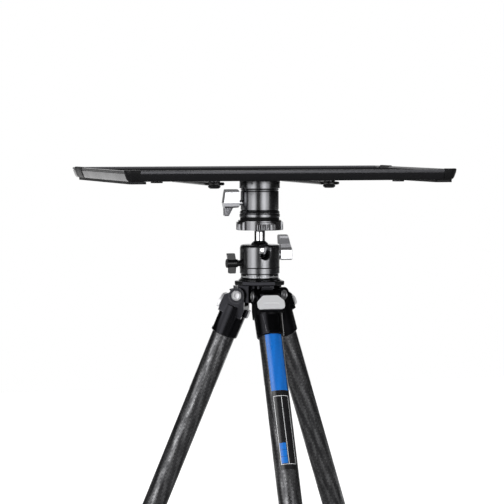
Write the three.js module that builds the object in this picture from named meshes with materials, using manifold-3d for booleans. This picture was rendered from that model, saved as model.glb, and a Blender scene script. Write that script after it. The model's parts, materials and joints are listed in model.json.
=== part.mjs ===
// A tethering table: a shallow laptop tray on a quick-release post, a ball head with a drop notch,
// and a folding tripod whose legs have four sections.
// Millimetres, +Z up, the tray's front edge towards -Y, the floor at zero.
import * as THREE from 'three';
import { mergeVertices } from 'three/addons/utils/BufferGeometryUtils.js';
import Module from 'manifold-3d';

const wasm = await Module();
wasm.setup();

// Clearances and the counts of sides on round pieces
const fit = 0.3; // between two pieces that touch
const turnFit = 0.45; // round a piece that turns or slides in a faceted bore
const overrun = 3; // how far a cutting shape runs past the face that it opens
const weld = 0.0002; // vertices nearer than this are one
const sides = { large: 28, medium: 20, small: 14, tiny: 10, corner: 4, edge: 2 };

// The tray: outer size over its rails, and the sheets that fill it
const tray = { width: 399, depth: 281, cornerRadius: 9, deckThickness: 3, matThickness: 1.5 };

// The rail round the tray, from the top down, and how far each step lies in from the outermost line
const rail = {
  lipHeight: 2.2,
  topWidth: 3.4,
  beadHeight: 2.4,
  beadRound: 0.9,
  grooveHeight: 1,
  grooveDepth: 1.2,
  bodyInset: 0.5,
  bodyHeight: 6.5,
  bodyLean: 2.4,
  bevelHeight: 2.5,
  bevelDepth: 2,
  wallInset: 5.6,
  footWidth: 3,
};

// Where the rails end and the rubber bumpers take over
const bumper = {
  frontReach: 16.3, // along the front, from the tray's side
  rearStart: 54.5, // from the back, along the side
  rearLength: 32,
  proud: 0.7,
  rise: 0.9,
  round: 1.4,
  runnerWidth: 20,
  runnerThickness: 2.6,
};

// Two swing arms under the tray, each on a thumb screw
const swingArm = {
  pivotX: 71,
  pivotY: -50,
  hubRadius: 12,
  tipRadius: 5,
  length: 174,
  thickness: 3.4,
  bossRadius: 7,
  bossHeight: 8.4,
  screwRadius: 3,
  screwReach: 5,
  headRadius: 7.6,
  headHeight: 3.6,
  headRound: 1.2,
};

// Four round feet cast on the underside of the tray
const castFoot = { radius: 7, height: 8.3, fromSide: 51.5, fromEnd: 62.5 };

// The quick-release post under the tray
const bossPlate = { radius: 29, height: 7.5 };
const headScrew = { radius: 4.76, headRadius: 8.4, headHeight: 2.2 };
const trayScrewReach = 13;
const post = {
  topRadius: 24.4,
  topHeight: 8.5,
  topTaper: 3.4,
  waistRadius: 23,
  waistHeight: 23.4,
  footTaper: 4.5,
  footRadius: 24.4,
  footHeight: 3.9,
  edge: 0.8,
  boreRadius: 15.4,
  boreDepth: 24,
};
const stemBase = {
  discRadius: 24,
  discHeight: 12.3,
  neckRadius: 23.6,
  neckHeight: 2.8,
  spigotRadius: 15,
  spigotHeight: 22.5,
  grooveDepth: 2.2,
  grooveHalf: 3.4,
};
const releaseRing = {
  radius: 26.2,
  lobeRadius: 28.2,
  lobes: 4,
  lobeHalfAngle: 29,
  lobeRampAngle: 2,
  lobeHeight: 9.8,
  flutes: 4,
  flutePitch: 12,
  fluteWidth: 2.6,
  fluteDepth: 1.7,
  fluteHeight: 7.2,
  edge: 0.6,
  topGap: 0.4,
};

// The lever that clamps the post on its spigot: a thick hub with a ribbed tail hanging from it
const clampLever = {
  shaftRadius: 3.2,
  axisRise: 17.4, // above the foot of the post
  hubStart: 3.6, // clear of the post's waist
  hubLength: 19.4,
  hubHigh: 16.1,
  hubLow: 5.6,
  hubCorner: 2.6,
  tailLow: 15.8,
  tailLength: 8.4,
  tailRoot: 10.8,
  thickness: 10,
  tailThickness: 7,
  tipGap: 0.9,
};

// The ball head
const ball = { radius: 13, stemRadius: 6.5, stemReach: 23.8, studReach: 11 };
const housing = {
  radius: 24,
  height: 34.8,
  ballDepth: 6.6, // the ball's centre below the rim
  shoulder: 3.2,
  shoulderDrop: 4.6,
  grooveRise: 6.6,
  grooveWidth: 1,
  grooveDepth: 0.6,
  footInset: 0.5,
  notchHalf: 7.25,
  notchDrop: 11.6, // the notch's lowest point below the ball's centre
  seatRadius: 16.4,
  seatDepth: 16,
  seatTop: 1.1,
};
const panBase = {
  flareRadius: 25.6,
  flangeHeight: 0.8,
  flareHeight: 3.1,
  radius: 22.8,
  height: 7.9,
  bossRadius: 12,
  bossRise: 5.4,
  ringInner: 17.6,
  ringOuter: 19.8,
  ringRise: 16.4,
  holeRise: 11.4,
};
const ballLever = {
  shaftRadius: 4,
  axisDrop: 5.7, // below the ball's centre
  start: 0.9,
  length: 14.7,
  hubHigh: 6.3,
  hubLow: 6.6,
  paddleHigh: 23.9,
  paddleInset: 0.5, // how far the paddle reaches in over the housing's shoulder
  paddleLength: 10.4,
  thickness: 11,
  paddleThickness: 6.4,
  corner: 1.6,
};
const panKnob = {
  shaftRadius: 3.9,
  axisRise: 12.6, // above the housing's foot
  start: 5.6,
  hubRadius: 5.4,
  length: 11.6,
  wingReach: 12.1,
  wingThickness: 5.4,
  wingTaper: 2.2,
  collarRadius: 5,
  collarLength: 3,
};

// The spider that joins the head to the legs, measured from the leg hinges' height
const spider = {
  hingeRadius: 24.8,
  plateCorners: 9,
  plateRadius: 30.2,
  plateRise: 12.4,
  plateThickness: 5.3,
  plateEdge: 1,
  hubRadius: 15.5,
  lugWidth: 20.4,
  lugRadius: 9,
  toothTip: 12.4,
  toothThickness: 2,
  screwRecess: 8,
};
const hingePin = {
  radius: 4,
  headRadius: 6.3,
  headHeight: 2,
  headEdge: 0.6,
  socketFlats: 6,
  socketDepth: 2.4,
};

// One leg, measured down its own axis from the hinge
const leg = { count: 3, lean: 22.5, widerStops: [53, 83] };
const fitting = {
  earRadius: 9.5,
  earOuter: 14.9,
  ringOuter: 17,
  radius: 17,
  footRadius: 16.4,
  bodyStart: 13,
  length: 51,
  edge: 1,
  faceReach: 15,
  faceStart: 5.6,
  faceEnd: 24.6,
  tubeStop: 20,
  panelWidth: 21.5,
  panelFootWidth: 17,
  panelStart: 26,
  panelEnd: 47.6,
  panelDepth: 0.7,
  lugWidth: 10,
  lugReach: 2.2,
  lugStart: 12.6,
  lugLength: 10,
};
const angleTab = {
  topHalf: 9.4,
  halfWidth: 16.6,
  start: 4.8,
  shoulderEnd: 11.8,
  end: 21.3,
  thickness: 3,
  corner: 3.2,
  tongueWidth: 14,
  tongueTop: 5.2,
  tongueThickness: 2.5,
  gripDepth: 0.9,
  gripHalf: 9.4,
  gripStart: 14,
  gripHeight: 2.2,
};
const tubes = {
  sections: 4,
  radius: 14, // of the thickest section
  step: 1.5, // each section is thinner than the last by this
  length: 370,
  firstEnd: 391.2,
  pitch: 39.5, // from one collar to the next when the leg is closed
  overlap: 40, // what stays inside at full reach
};
const collar = { wall: 3.4, above: 26, below: 12, edge: 1, nose: 4 };
const foot = {
  radius: 13,
  neckRadius: 11.6,
  neckDrop: 2,
  centreDrop: 12.5,
  plugLength: 14,
  flat: 0.6,
  shoulder: 5,
};

const quarterTurn = Math.PI / 2;
const radians = THREE.MathUtils.degToRad;

// Solids: joining and cutting closed meshes

function solid(geometry) {
  const bare = geometry.clone();
  for (const name of Object.keys(bare.attributes)) {
    if (name !== 'position') bare.deleteAttribute(name);
  }
  const merged = mergeVertices(bare, weld);
  const corners = merged.index.array;
  const triangles = [];
  for (let i = 0; i < corners.length; i += 3) {
    const [a, b, c] = [corners[i], corners[i + 1], corners[i + 2]];
    if (a !== b && b !== c && c !== a) triangles.push(a, b, c);
  }
  const vertProperties = new Float32Array(merged.attributes.position.array);
  const build = (triVerts) => new wasm.Manifold(new wasm.Mesh({ numProp: 3, vertProperties, triVerts }));
  const made = build(new Uint32Array(triangles));
  if (made.volume() >= 0) return made;
  for (let i = 0; i < triangles.length; i += 3) {
    [triangles[i + 1], triangles[i + 2]] = [triangles[i + 2], triangles[i + 1]];
  }
  return build(new Uint32Array(triangles));
}

function geometryOf(made) {
  const mesh = made.getMesh();
  const positions = new Float32Array(mesh.numVert * 3);
  for (let i = 0; i < mesh.numVert; i++) {
    positions.set(mesh.vertProperties.subarray(i * mesh.numProp, i * mesh.numProp + 3), i * 3);
  }
  return new THREE.BufferGeometry()
    .setAttribute('position', new THREE.BufferAttribute(positions, 3))
    .setIndex(new THREE.BufferAttribute(new Uint32Array(mesh.triVerts), 1));
}

const join = (...geometries) => geometryOf(geometries.map(solid).reduce((a, b) => a.add(b)));
const cut = (base, ...tools) => geometryOf(tools.map(solid).reduce((a, b) => a.subtract(b), solid(base)));
const common = (a, b) => geometryOf(solid(a).intersect(solid(b)));

// Basic shapes, each given by its limits along the axes

function revolve(profile, count) {
  const points = profile.map(([radius, height]) => new THREE.Vector2(radius, height));
  return new THREE.LatheGeometry(points, count).rotateX(quarterTurn);
}

const closed = (profile) => [...profile, profile[0]];

function rodZ(radius, from, to, count) {
  return new THREE.CylinderGeometry(radius, radius, to - from, count)
    .rotateX(quarterTurn)
    .translate(0, 0, (from + to) / 2);
}

const rodX = (radius, from, to, count) => rodZ(radius, from, to, count).rotateY(quarterTurn);
const rodY = (radius, from, to, count) => rodZ(radius, from, to, count).rotateX(-quarterTurn);

function slab(x0, x1, y0, y1, z0, z1) {
  const block = new THREE.BoxGeometry(x1 - x0, y1 - y0, z1 - z0);
  return block.translate((x0 + x1) / 2, (y0 + y1) / 2, (z0 + z1) / 2);
}

// A flat outline with rounded corners: each point may carry a radius as its third number
function roundedShape(points, steps = sides.corner) {
  const shape = new THREE.Shape();
  const corners = points.map(([x, y]) => new THREE.Vector2(x, y));
  points.forEach(([x, y, radius = 0], i) => {
    const corner = corners[i];
    const before = corners.at(i - 1).clone().sub(corner).normalize();
    const after = corners[(i + 1) % points.length].clone().sub(corner).normalize();
    if (radius === 0) {
      if (i === 0) shape.moveTo(x, y);
      else shape.lineTo(x, y);
      return;
    }
    const half = Math.acos(THREE.MathUtils.clamp(before.dot(after), -1, 1)) / 2;
    const back = radius / Math.tan(half);
    const start = corner.clone().addScaledVector(before, back);
    const end = corner.clone().addScaledVector(after, back);
    const inwards = before.clone().add(after).normalize();
    const centre = corner.clone().addScaledVector(inwards, radius / Math.sin(half));
    const from = start.clone().sub(centre).angle();
    let sweep = end.clone().sub(centre).angle() - from;
    if (sweep > Math.PI) sweep -= 2 * Math.PI;
    if (sweep < -Math.PI) sweep += 2 * Math.PI;
    for (let k = 0; k <= steps; k++) {
      const angle = from + (sweep * k) / steps;
      const px = centre.x + radius * Math.cos(angle);
      const py = centre.y + radius * Math.sin(angle);
      if (i === 0 && k === 0) shape.moveTo(px, py);
      else shape.lineTo(px, py);
    }
  });
  shape.closePath();
  return shape;
}

// A plate of the outline, standing on z0 and reaching z1
function plate(shape, z0, z1) {
  const options = { depth: z1 - z0, bevelEnabled: false, curveSegments: sides.corner };
  return new THREE.ExtrudeGeometry(shape, options).translate(0, 0, z0);
}

// A plate whose outline is drawn in the X-Z plane, centred on y = 0
const sidePlate = (shape, width) => plate(shape, -width / 2, width / 2).rotateX(quarterTurn);

// A plate whose outline is drawn in the Y-Z plane, reaching from x0 to x1
function facePlate(shape, x0, x1) {
  const turn = new THREE.Matrix4().set(0, 0, 1, 0, 1, 0, 0, 0, 0, 1, 0, 0, 0, 0, 0, 1);
  return plate(shape, x0, x1).applyMatrix4(turn);
}

// A profile carried along stations: each is a point on the tray's outermost line and the way out from it
function sweep(profile, stations) {
  const given = profile.map(([reach, height]) => new THREE.Vector2(reach, height));
  const contour = THREE.ShapeUtils.isClockWise(given) ? given.reverse() : given;
  const count = contour.length;
  const positions = [];
  for (const { x, y, out } of stations) {
    for (const point of contour) {
      positions.push(x + point.x * Math.cos(out), y + point.x * Math.sin(out), point.y);
    }
  }
  const index = [];
  for (let s = 0; s + 1 < stations.length; s++) {
    for (let i = 0; i < count; i++) {
      const [a, b] = [s * count + i, s * count + ((i + 1) % count)];
      index.push(a, b, a + count, b, b + count, a + count);
    }
  }
  const end = (stations.length - 1) * count;
  for (const [a, b, c] of THREE.ShapeUtils.triangulateShape(contour, [])) {
    index.push(a, c, b, end + a, end + b, end + c);
  }
  return new THREE.BufferGeometry()
    .setAttribute('position', new THREE.Float32BufferAttribute(positions, 3))
    .setIndex(index);
}

// The scene graph: a named piece with its own finish

const finishes = {
  anodised: { color: 0x2b2c30, roughness: 0.42, metalness: 0.85 },
  magnesium: { color: 0x34353a, roughness: 0.5, metalness: 0.7 },
  silver: { color: 0xd6d8dc, roughness: 0.3, metalness: 0.95 },
  polished: { color: 0xc8cacd, roughness: 0.14, metalness: 1 },
  carbon: { color: 0x26272a, roughness: 0.35, metalness: 0.15 },
  rubber: { color: 0x0f0f10, roughness: 0.8, metalness: 0 },
  plastic: { color: 0x141416, roughness: 0.55, metalness: 0 },
  steel: { color: 0x9a9ca0, roughness: 0.35, metalness: 1 },
};

function piece(parent, name, geometry, finish) {
  const faceted = geometryOf(solid(geometry)).toNonIndexed();
  faceted.computeVertexNormals();
  const mesh = new THREE.Mesh(faceted, new THREE.MeshStandardMaterial(finishes[finish]));
  mesh.name = name;
  parent.add(mesh);
  return mesh;
}

function groupAt(parent, x, y, z) {
  const group = new THREE.Group();
  group.position.set(x, y, z);
  parent.add(group);
  return group;
}

// The tray. Its zero is the middle of the mat's top face.

const sideX = tray.width / 2;
const sideY = tray.depth / 2;
const deckTop = -tray.matThickness - fit;
const deckLow = deckTop - tray.deckThickness;
const bossPlateLow = deckLow - fit - bossPlate.height;
const grooveTop = rail.lipHeight - rail.beadHeight;
const bodyTop = grooveTop - rail.grooveHeight;
const bevelTop = bodyTop - rail.bodyHeight;
const railLow = bevelTop - rail.bevelHeight;
const railFoot = rail.bodyInset + rail.bodyLean + rail.bevelDepth;
const ledge = deckLow - fit;
const runnerTop = railLow - fit;
const runnerLow = runnerTop - bumper.runnerThickness;
const sheetInset = rail.wallInset + fit;

// The rounded upper outer edge of a rail or bumper, as points from the top face round to the side
function roundedEdge(reach, top, radius) {
  const points = [];
  for (let k = 0; k <= sides.edge; k++) {
    const angle = quarterTurn * (1 - k / sides.edge);
    points.push([reach - radius + radius * Math.cos(angle), top - radius + radius * Math.sin(angle)]);
  }
  return points;
}

// The rail leans outwards, with a bead along its top, a groove below the bead and a bevel at its foot
const railProfile = [
  [-rail.wallInset, ledge],
  [-rail.wallInset, 0],
  [-rail.topWidth, rail.lipHeight],
  ...roundedEdge(0, rail.lipHeight, rail.beadRound),
  [0, grooveTop],
  [-rail.grooveDepth, grooveTop],
  [-rail.grooveDepth, bodyTop],
  [-rail.bodyInset, bodyTop],
  [-rail.bodyInset - rail.bodyLean, bevelTop],
  [-railFoot, railLow],
  [-railFoot - rail.footWidth, railLow],
  [-railFoot - rail.footWidth, ledge],
];

const bumperTop = rail.lipHeight + bumper.rise;
const bumperProfile = [
  [-rail.wallInset, ledge],
  [-rail.wallInset, 0],
  [-rail.topWidth, bumperTop],
  ...roundedEdge(bumper.proud, bumperTop, bumper.round),
  [bumper.proud - rail.bodyInset, bodyTop],
  [bumper.proud - rail.bodyInset - rail.bodyLean, bevelTop],
  [-railFoot, railLow],
  [-railFoot, runnerLow],
  [-railFoot - rail.footWidth, runnerLow],
  [-railFoot - rail.footWidth, ledge],
];

const towards = { right: 0, back: quarterTurn, left: 2 * quarterTurn, front: 3 * quarterTurn };

// Stations round one corner of the tray, from one way out to the next
function cornerStations(signX, signY, from, to) {
  const centreX = signX * (sideX - tray.cornerRadius);
  const centreY = signY * (sideY - tray.cornerRadius);
  const stations = [];
  for (let k = 0; k <= sides.corner; k++) {
    const out = from + ((to - from) * k) / sides.corner;
    stations.push({
      x: centreX + tray.cornerRadius * Math.cos(out),
      y: centreY + tray.cornerRadius * Math.sin(out),
      out,
    });
  }
  return stations;
}

const frontRailHalf = sideX - bumper.frontReach - fit;
const sideFront = -sideY + tray.cornerRadius;
const rearFrom = sideY - bumper.rearStart;
const rearTo = rearFrom + bumper.rearLength;

function frontRail() {
  return sweep(railProfile, [
    { x: -frontRailHalf, y: -sideY, out: towards.front },
    { x: frontRailHalf, y: -sideY, out: towards.front },
  ]);
}

// The back rail wraps round both rear corners and ends against the bumpers' rear blocks
function backRail() {
  return sweep(railProfile, [
    { x: sideX, y: rearTo + fit, out: towards.right },
    ...cornerStations(1, 1, towards.right, towards.back),
    ...cornerStations(-1, 1, towards.back, towards.left),
    { x: -sideX, y: rearTo + fit, out: towards.left },
  ]);
}

function sideRail(sign) {
  const out = sign > 0 ? towards.right : towards.left;
  return sweep(railProfile, [
    { x: sign * sideX, y: sideFront + fit, out },
    { x: sign * sideX, y: rearFrom - fit, out },
  ]);
}

// One rubber moulding a side: a front corner, a block near the back and the runner that joins them
function bumperMoulding(sign) {
  const out = sign > 0 ? towards.right : towards.left;
  const frontOut = sign > 0 ? towards.front - 2 * Math.PI : towards.front;
  const frontCorner = sweep(bumperProfile, [
    ...cornerStations(sign, -1, out, frontOut),
    { x: sign * (sideX - bumper.frontReach), y: -sideY, out: frontOut },
  ]);
  const rearBlock = sweep(bumperProfile, [
    { x: sign * sideX, y: rearFrom, out },
    { x: sign * sideX, y: rearTo, out },
  ]);
  const near = sign * (sideX - railFoot);
  const far = sign * (sideX - railFoot - bumper.runnerWidth);
  const runnerShape = roundedShape([
    [near, -sideY + railFoot, 0],
    [far, -sideY + railFoot, rail.footWidth],
    [far, rearTo, rail.footWidth],
    [near, rearTo, 0],
  ]);
  const cornerTrim = cut(
    slab(sign * (sideX - tray.cornerRadius), sign * sideX, -sideY, sideFront, runnerLow - overrun, railLow),
    rodZ(tray.cornerRadius - railFoot, runnerLow - 2 * overrun, railLow + overrun, 4 * sides.corner)
      .translate(sign * (sideX - tray.cornerRadius), sideFront, 0),
  );
  return join(cut(plate(runnerShape, runnerLow, runnerTop), cornerTrim), frontCorner, rearBlock);
}

function sheetShape() {
  const radius = tray.cornerRadius - sheetInset;
  const [x, y] = [sideX - sheetInset, sideY - sheetInset];
  return roundedShape([
    [-x, -y, radius],
    [x, -y, radius],
    [x, y, radius],
    [-x, y, radius],
  ]);
}

const screwHole = headScrew.radius + fit;
const armBossLow = deckLow - swingArm.bossHeight;
const armPlaces = [
  { side: 'left', sign: -1 },
  { side: 'right', sign: 1 },
];

// The deck: a flat plate with a countersunk hole for the post's screw, a boss for each arm and four feet
function deck() {
  const overlapTop = deckLow + tray.deckThickness / 2;
  const footX = sideX - castFoot.fromSide;
  const footY = sideY - castFoot.fromEnd;
  let body = plate(sheetShape(), deckLow, deckTop);
  for (const { sign } of armPlaces) {
    const boss = rodZ(swingArm.bossRadius, armBossLow, overlapTop, sides.small);
    body = join(body, boss.translate(sign * swingArm.pivotX, swingArm.pivotY, 0));
    for (const end of [-1, 1]) {
      const stub = rodZ(castFoot.radius, deckLow - castFoot.height, overlapTop, sides.tiny);
      body = join(body, stub.translate(sign * footX, end * footY, 0));
    }
  }
  const holeTop = armBossLow + swingArm.screwReach + fit;
  const holes = armPlaces.map(({ sign }) =>
    rodZ(swingArm.screwRadius + fit, armBossLow - overrun, holeTop, sides.tiny)
      .translate(sign * swingArm.pivotX, swingArm.pivotY, 0),
  );
  const recessLow = deckTop - headScrew.headHeight - 2 * fit;
  const recess = rodZ(headScrew.headRadius + fit, recessLow, deckTop + overrun, sides.small);
  return cut(body, rodZ(screwHole, deckLow - overrun, deckTop + overrun, sides.tiny), recess, ...holes);
}

function armPlate() {
  const { hubRadius, tipRadius, length, thickness, screwRadius } = swingArm;
  const shape = new THREE.Shape();
  const spread = Math.acos((hubRadius - tipRadius) / length);
  shape.absarc(0, 0, hubRadius, spread, 2 * Math.PI - spread, false);
  shape.absarc(length, 0, tipRadius, -spread, spread, false);
  const hole = new THREE.Path();
  hole.absarc(0, 0, screwRadius + fit, 0, 2 * Math.PI, true);
  shape.holes.push(hole);
  return new THREE.ExtrudeGeometry(shape, {
    depth: thickness - 2 * rail.beadRound,
    bevelThickness: rail.beadRound,
    bevelSize: rail.beadRound,
    bevelOffset: -rail.beadRound,
    bevelSegments: 1,
    curveSegments: sides.corner,
  }).translate(0, 0, -thickness + rail.beadRound);
}

function thumbScrew() {
  const { headRadius, headHeight, headRound, screwRadius, screwReach, thickness } = swingArm;
  const headTop = -thickness - fit;
  return revolve(
    [
      [0, headTop - headHeight],
      [headRadius - headHeight + headRound, headTop - headHeight],
      [headRadius - headRound / 2, headTop - headHeight + headRound],
      [headRadius, headTop - headRound],
      [headRadius - headRound / 2, headTop],
      [screwRadius, headTop],
      [screwRadius, fit + screwReach],
      [0, fit + screwReach],
    ],
    sides.small,
  );
}

function buildTray(parent) {
  piece(parent, 'tray_deck', deck(), 'magnesium');
  piece(parent, 'tray_mat', plate(sheetShape(), -tray.matThickness, 0), 'rubber');
  piece(parent, 'tray_rail_front', frontRail(), 'magnesium');
  piece(parent, 'tray_rail_back', backRail(), 'magnesium');
  for (const { side, sign } of armPlaces) {
    piece(parent, `tray_rail_${side}`, sideRail(sign), 'magnesium');
    piece(parent, `tray_bumper_${side}`, bumperMoulding(sign), 'rubber');
    const pivot = groupAt(parent, sign * swingArm.pivotX, swingArm.pivotY, armBossLow - fit);
    piece(pivot, `swing_arm_${side}`, armPlate(), 'plastic').rotation.z = towards.back;
    piece(pivot, `arm_thumb_screw_${side}`, thumbScrew(), 'plastic');
  }
  const hole = rodZ(screwHole, bossPlateLow - overrun, deckLow, sides.tiny);
  const disc = rodZ(bossPlate.radius, bossPlateLow, bossPlateLow + bossPlate.height, sides.large);
  piece(parent, 'tray_boss_plate', cut(disc, hole), 'anodised');
  const headLow = deckTop - fit - headScrew.headHeight;
  const screw = revolve(
    [
      [0, bossPlateLow - trayScrewReach],
      [headScrew.radius, bossPlateLow - trayScrewReach],
      [headScrew.radius, headLow],
      [headScrew.headRadius, headLow],
      [headScrew.headRadius, deckTop - fit],
      [0, deckTop - fit],
    ],
    sides.tiny,
  );
  piece(parent, 'tray_screw', screw, 'steel');
}

// The post. Its zero is the foot of the waisted body, on the stem's axis.

const postHeight = post.footHeight + post.footTaper + post.waistHeight + post.topTaper + post.topHeight;

function postBody() {
  const footTop = post.footHeight;
  const waistLow = footTop + post.footTaper;
  const waistTop = waistLow + post.waistHeight;
  const topLow = waistTop + post.topTaper;
  const outside = revolve(
    [
      [0, 0],
      [post.footRadius - post.edge, 0],
      [post.footRadius, post.edge],
      [post.footRadius, footTop],
      [post.footRadius - post.edge, footTop],
      [post.waistRadius + post.edge, footTop + post.footTaper / 2],
      [post.waistRadius, waistLow],
      [post.waistRadius, waistTop],
      [post.waistRadius + post.edge, waistTop + post.topTaper / 2],
      [post.topRadius, topLow],
      [post.topRadius, postHeight],
      [0, postHeight],
    ],
    sides.large,
  );
  const screwDepth = trayScrewReach + fit;
  return cut(
    outside,
    rodZ(post.boreRadius + fit, -overrun, post.boreDepth, sides.medium),
    rodZ(screwHole, postHeight - screwDepth, postHeight + overrun, sides.tiny),
    rodX(clampLever.shaftRadius + fit, -post.waistRadius - overrun, -post.boreRadius + overrun, sides.tiny)
      .translate(0, 0, clampLever.axisRise),
  );
}

// The stem's base: a disc for the ring, a neck, and the spigot that the post clamps on
function stemBaseBody() {
  const { discRadius, discHeight, neckRadius, neckHeight } = stemBase;
  const { spigotRadius, spigotHeight, grooveDepth, grooveHalf } = stemBase;
  const spigotLow = discHeight + neckHeight;
  const grooveRise = spigotLow + fit + clampLever.axisRise;
  const outside = revolve(
    [
      [0, 0],
      [discRadius - post.edge, 0],
      [discRadius, post.edge],
      [discRadius, discHeight],
      [neckRadius, discHeight],
      [neckRadius, spigotLow],
      [spigotRadius, spigotLow],
      [spigotRadius, grooveRise - grooveHalf],
      [spigotRadius - grooveDepth, grooveRise - grooveHalf / 2],
      [spigotRadius - grooveDepth, grooveRise + grooveHalf / 2],
      [spigotRadius, Math.min(grooveRise + grooveHalf, spigotLow + spigotHeight - post.edge)],
      [spigotRadius, spigotLow + spigotHeight],
      [0, spigotLow + spigotHeight],
    ],
    sides.large,
  );
  return cut(outside, rodZ(screwHole, -overrun, ball.studReach + fit, sides.tiny));
}

// The release ring: a plain round with four raised lobes, each cut by short grip flutes
function releaseRingBody() {
  const { radius, lobeRadius, lobes, lobeHalfAngle, lobeRampAngle, lobeHeight, edge, topGap } = releaseRing;
  const { flutes, flutePitch, fluteWidth, fluteDepth, fluteHeight } = releaseRing;
  const top = stemBase.discHeight - topGap;
  const round = revolve(
    [
      [0, 0],
      [radius, 0],
      [radius, top - edge],
      [radius - edge, top],
      [0, top],
    ],
    sides.large,
  );
  const polar = (r, degrees) => [r * Math.cos(radians(degrees)), r * Math.sin(radians(degrees))];
  const inside = stemBase.discRadius;
  const lobeOutline = [polar(inside, -lobeHalfAngle), polar(radius, -lobeHalfAngle)];
  const arc = lobeHalfAngle - lobeRampAngle;
  for (let k = 0; k <= flutes; k++) lobeOutline.push(polar(lobeRadius, -arc + (2 * arc * k) / flutes));
  lobeOutline.push(polar(radius, lobeHalfAngle), polar(inside, lobeHalfAngle));
  const lobe = plate(roundedShape(lobeOutline), 0, lobeHeight);
  const fluteFloor = lobeRadius - fluteDepth;
  const half = fluteWidth / 2;
  const cuts = [rodZ(stemBase.discRadius + turnFit, -overrun, top + overrun, sides.large)];
  const pads = [];
  for (let i = 0; i < lobes; i++) {
    const turn = (i * 2 * Math.PI) / lobes;
    pads.push(lobe.clone().rotateZ(turn));
    for (let k = 0; k < flutes; k++) {
      const across = radians((k - (flutes - 1) / 2) * flutePitch);
      const flute = slab(fluteFloor, lobeRadius + overrun, -half, half, -overrun, fluteHeight);
      cuts.push(flute.rotateZ(turn + across));
    }
  }
  return cut(join(round, ...pads), ...cuts);
}

// The clamp lever's zero is on its shaft's axis, where it leaves the stem's axis; it points towards -X
function clampLeverBody() {
  const { hubStart, hubLength, hubHigh, hubLow, hubCorner, tailLow, tailLength, tailRoot } = clampLever;
  const inner = -post.waistRadius - hubStart;
  const outer = inner - hubLength;
  const hubShape = roundedShape([
    [inner, -hubLow, hubCorner / 2],
    [inner, hubHigh, hubCorner],
    [outer + hubCorner, hubHigh, hubCorner],
    [outer, 0, hubCorner],
    [outer + hubCorner / 2, -hubLow, 0],
  ]);
  const tailShape = roundedShape([
    [outer + hubCorner / 2, -hubLow + hubCorner, 0],
    [outer + hubCorner / 2, -tailLow, hubCorner / 3],
    [outer + hubCorner / 2 + tailLength - hubCorner, -tailLow, hubCorner / 3],
    [outer + hubCorner / 2 + tailRoot, -hubLow + hubCorner, 0],
  ]);
  const tip = -stemBase.spigotRadius - clampLever.tipGap;
  return join(
    sidePlate(hubShape, clampLever.thickness),
    sidePlate(tailShape, clampLever.tailThickness),
    rodX(clampLever.shaftRadius, inner - hubCorner, tip, sides.small),
  );
}

// The ball head. The ball's zero is its centre.

function ballAndStem() {
  const { radius, stemRadius, stemReach, studReach } = ball;
  const profile = [];
  const neckAngle = Math.acos(stemRadius / radius);
  for (let k = 0; k <= sides.tiny; k++) {
    const angle = -quarterTurn + ((neckAngle + quarterTurn) * k) / sides.tiny;
    profile.push([k === 0 ? 0 : radius * Math.cos(angle), radius * Math.sin(angle)]);
  }
  profile.push([stemRadius, stemReach]);
  profile.push([headScrew.radius, stemReach]);
  profile.push([headScrew.radius, stemReach + studReach]);
  profile.push([0, stemReach + studReach]);
  return revolve(profile, sides.medium);
}

const ballRise = housing.height - housing.ballDepth;
const seatLow = ballRise - housing.seatDepth;
const seatHigh = ballRise - housing.seatTop;
const socketRadius = ball.radius + turnFit;

// The notch that lets the stem drop level, open towards the front
function notchTool() {
  const centre = ballRise - housing.notchDrop + housing.notchHalf;
  const front = -housing.radius - overrun;
  const across = slab(-housing.notchHalf, housing.notchHalf, front, 0, centre, housing.height + overrun);
  const round = rodY(housing.notchHalf, front, 0, sides.medium).translate(0, 0, centre);
  return join(across, round);
}

function socketSphere() {
  const profile = [];
  for (let k = 0; k <= sides.tiny; k++) {
    const angle = -quarterTurn + (Math.PI * k) / sides.tiny;
    const end = k === 0 || k === sides.tiny;
    profile.push([end ? 0 : socketRadius * Math.cos(angle), ballRise + socketRadius * Math.sin(angle)]);
  }
  return revolve(profile, sides.medium);
}

// The housing's zero is the middle of its foot
function housingBody() {
  const { radius, height, shoulder, shoulderDrop, footInset } = housing;
  const { grooveRise, grooveWidth, grooveDepth } = housing;
  const roundedShoulder = [];
  for (let k = 0; k <= sides.corner; k++) {
    const angle = (quarterTurn * k) / sides.corner;
    const drop = shoulderDrop * (1 - Math.sin(angle));
    roundedShoulder.push([radius - shoulder * (1 - Math.cos(angle)), height - drop]);
  }
  const outside = revolve(
    [
      [0, 0],
      [radius - footInset, 0],
      [radius, footInset],
      [radius, grooveRise],
      [radius - grooveDepth, grooveRise],
      [radius - grooveDepth, grooveRise + grooveWidth],
      [radius, grooveRise + grooveWidth],
      ...roundedShoulder,
      [0, height],
    ],
    sides.large,
  );
  const ringSlot = closed([
    [panBase.ringInner - turnFit, -overrun],
    [panBase.ringOuter + turnFit, -overrun],
    [panBase.ringOuter + turnFit, panBase.ringRise],
    [panBase.ringInner - turnFit, panBase.ringRise],
  ]);
  return cut(
    outside,
    socketSphere(),
    rodZ(housing.seatRadius + fit, seatLow - fit, seatHigh + fit, sides.medium),
    notchTool(),
    rodZ(panBase.bossRadius + turnFit, -overrun, panBase.bossRise + fit, sides.medium),
    revolve(ringSlot, sides.medium),
    rodX(ballLever.shaftRadius + fit, housing.seatRadius - overrun, radius + overrun, sides.tiny)
      .translate(0, 0, ballRise - ballLever.axisDrop),
    rodX(panKnob.shaftRadius + fit, -radius - overrun, -panBase.ringOuter, sides.tiny)
      .translate(0, 0, panKnob.axisRise),
  );
}

function ballSeat() {
  const cup = rodZ(housing.seatRadius, seatLow, seatHigh, sides.medium);
  const centreHole = rodZ(ball.stemRadius, seatLow - overrun, ballRise, sides.tiny);
  return cut(cup, socketSphere(), notchTool(), centreHole);
}

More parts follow.
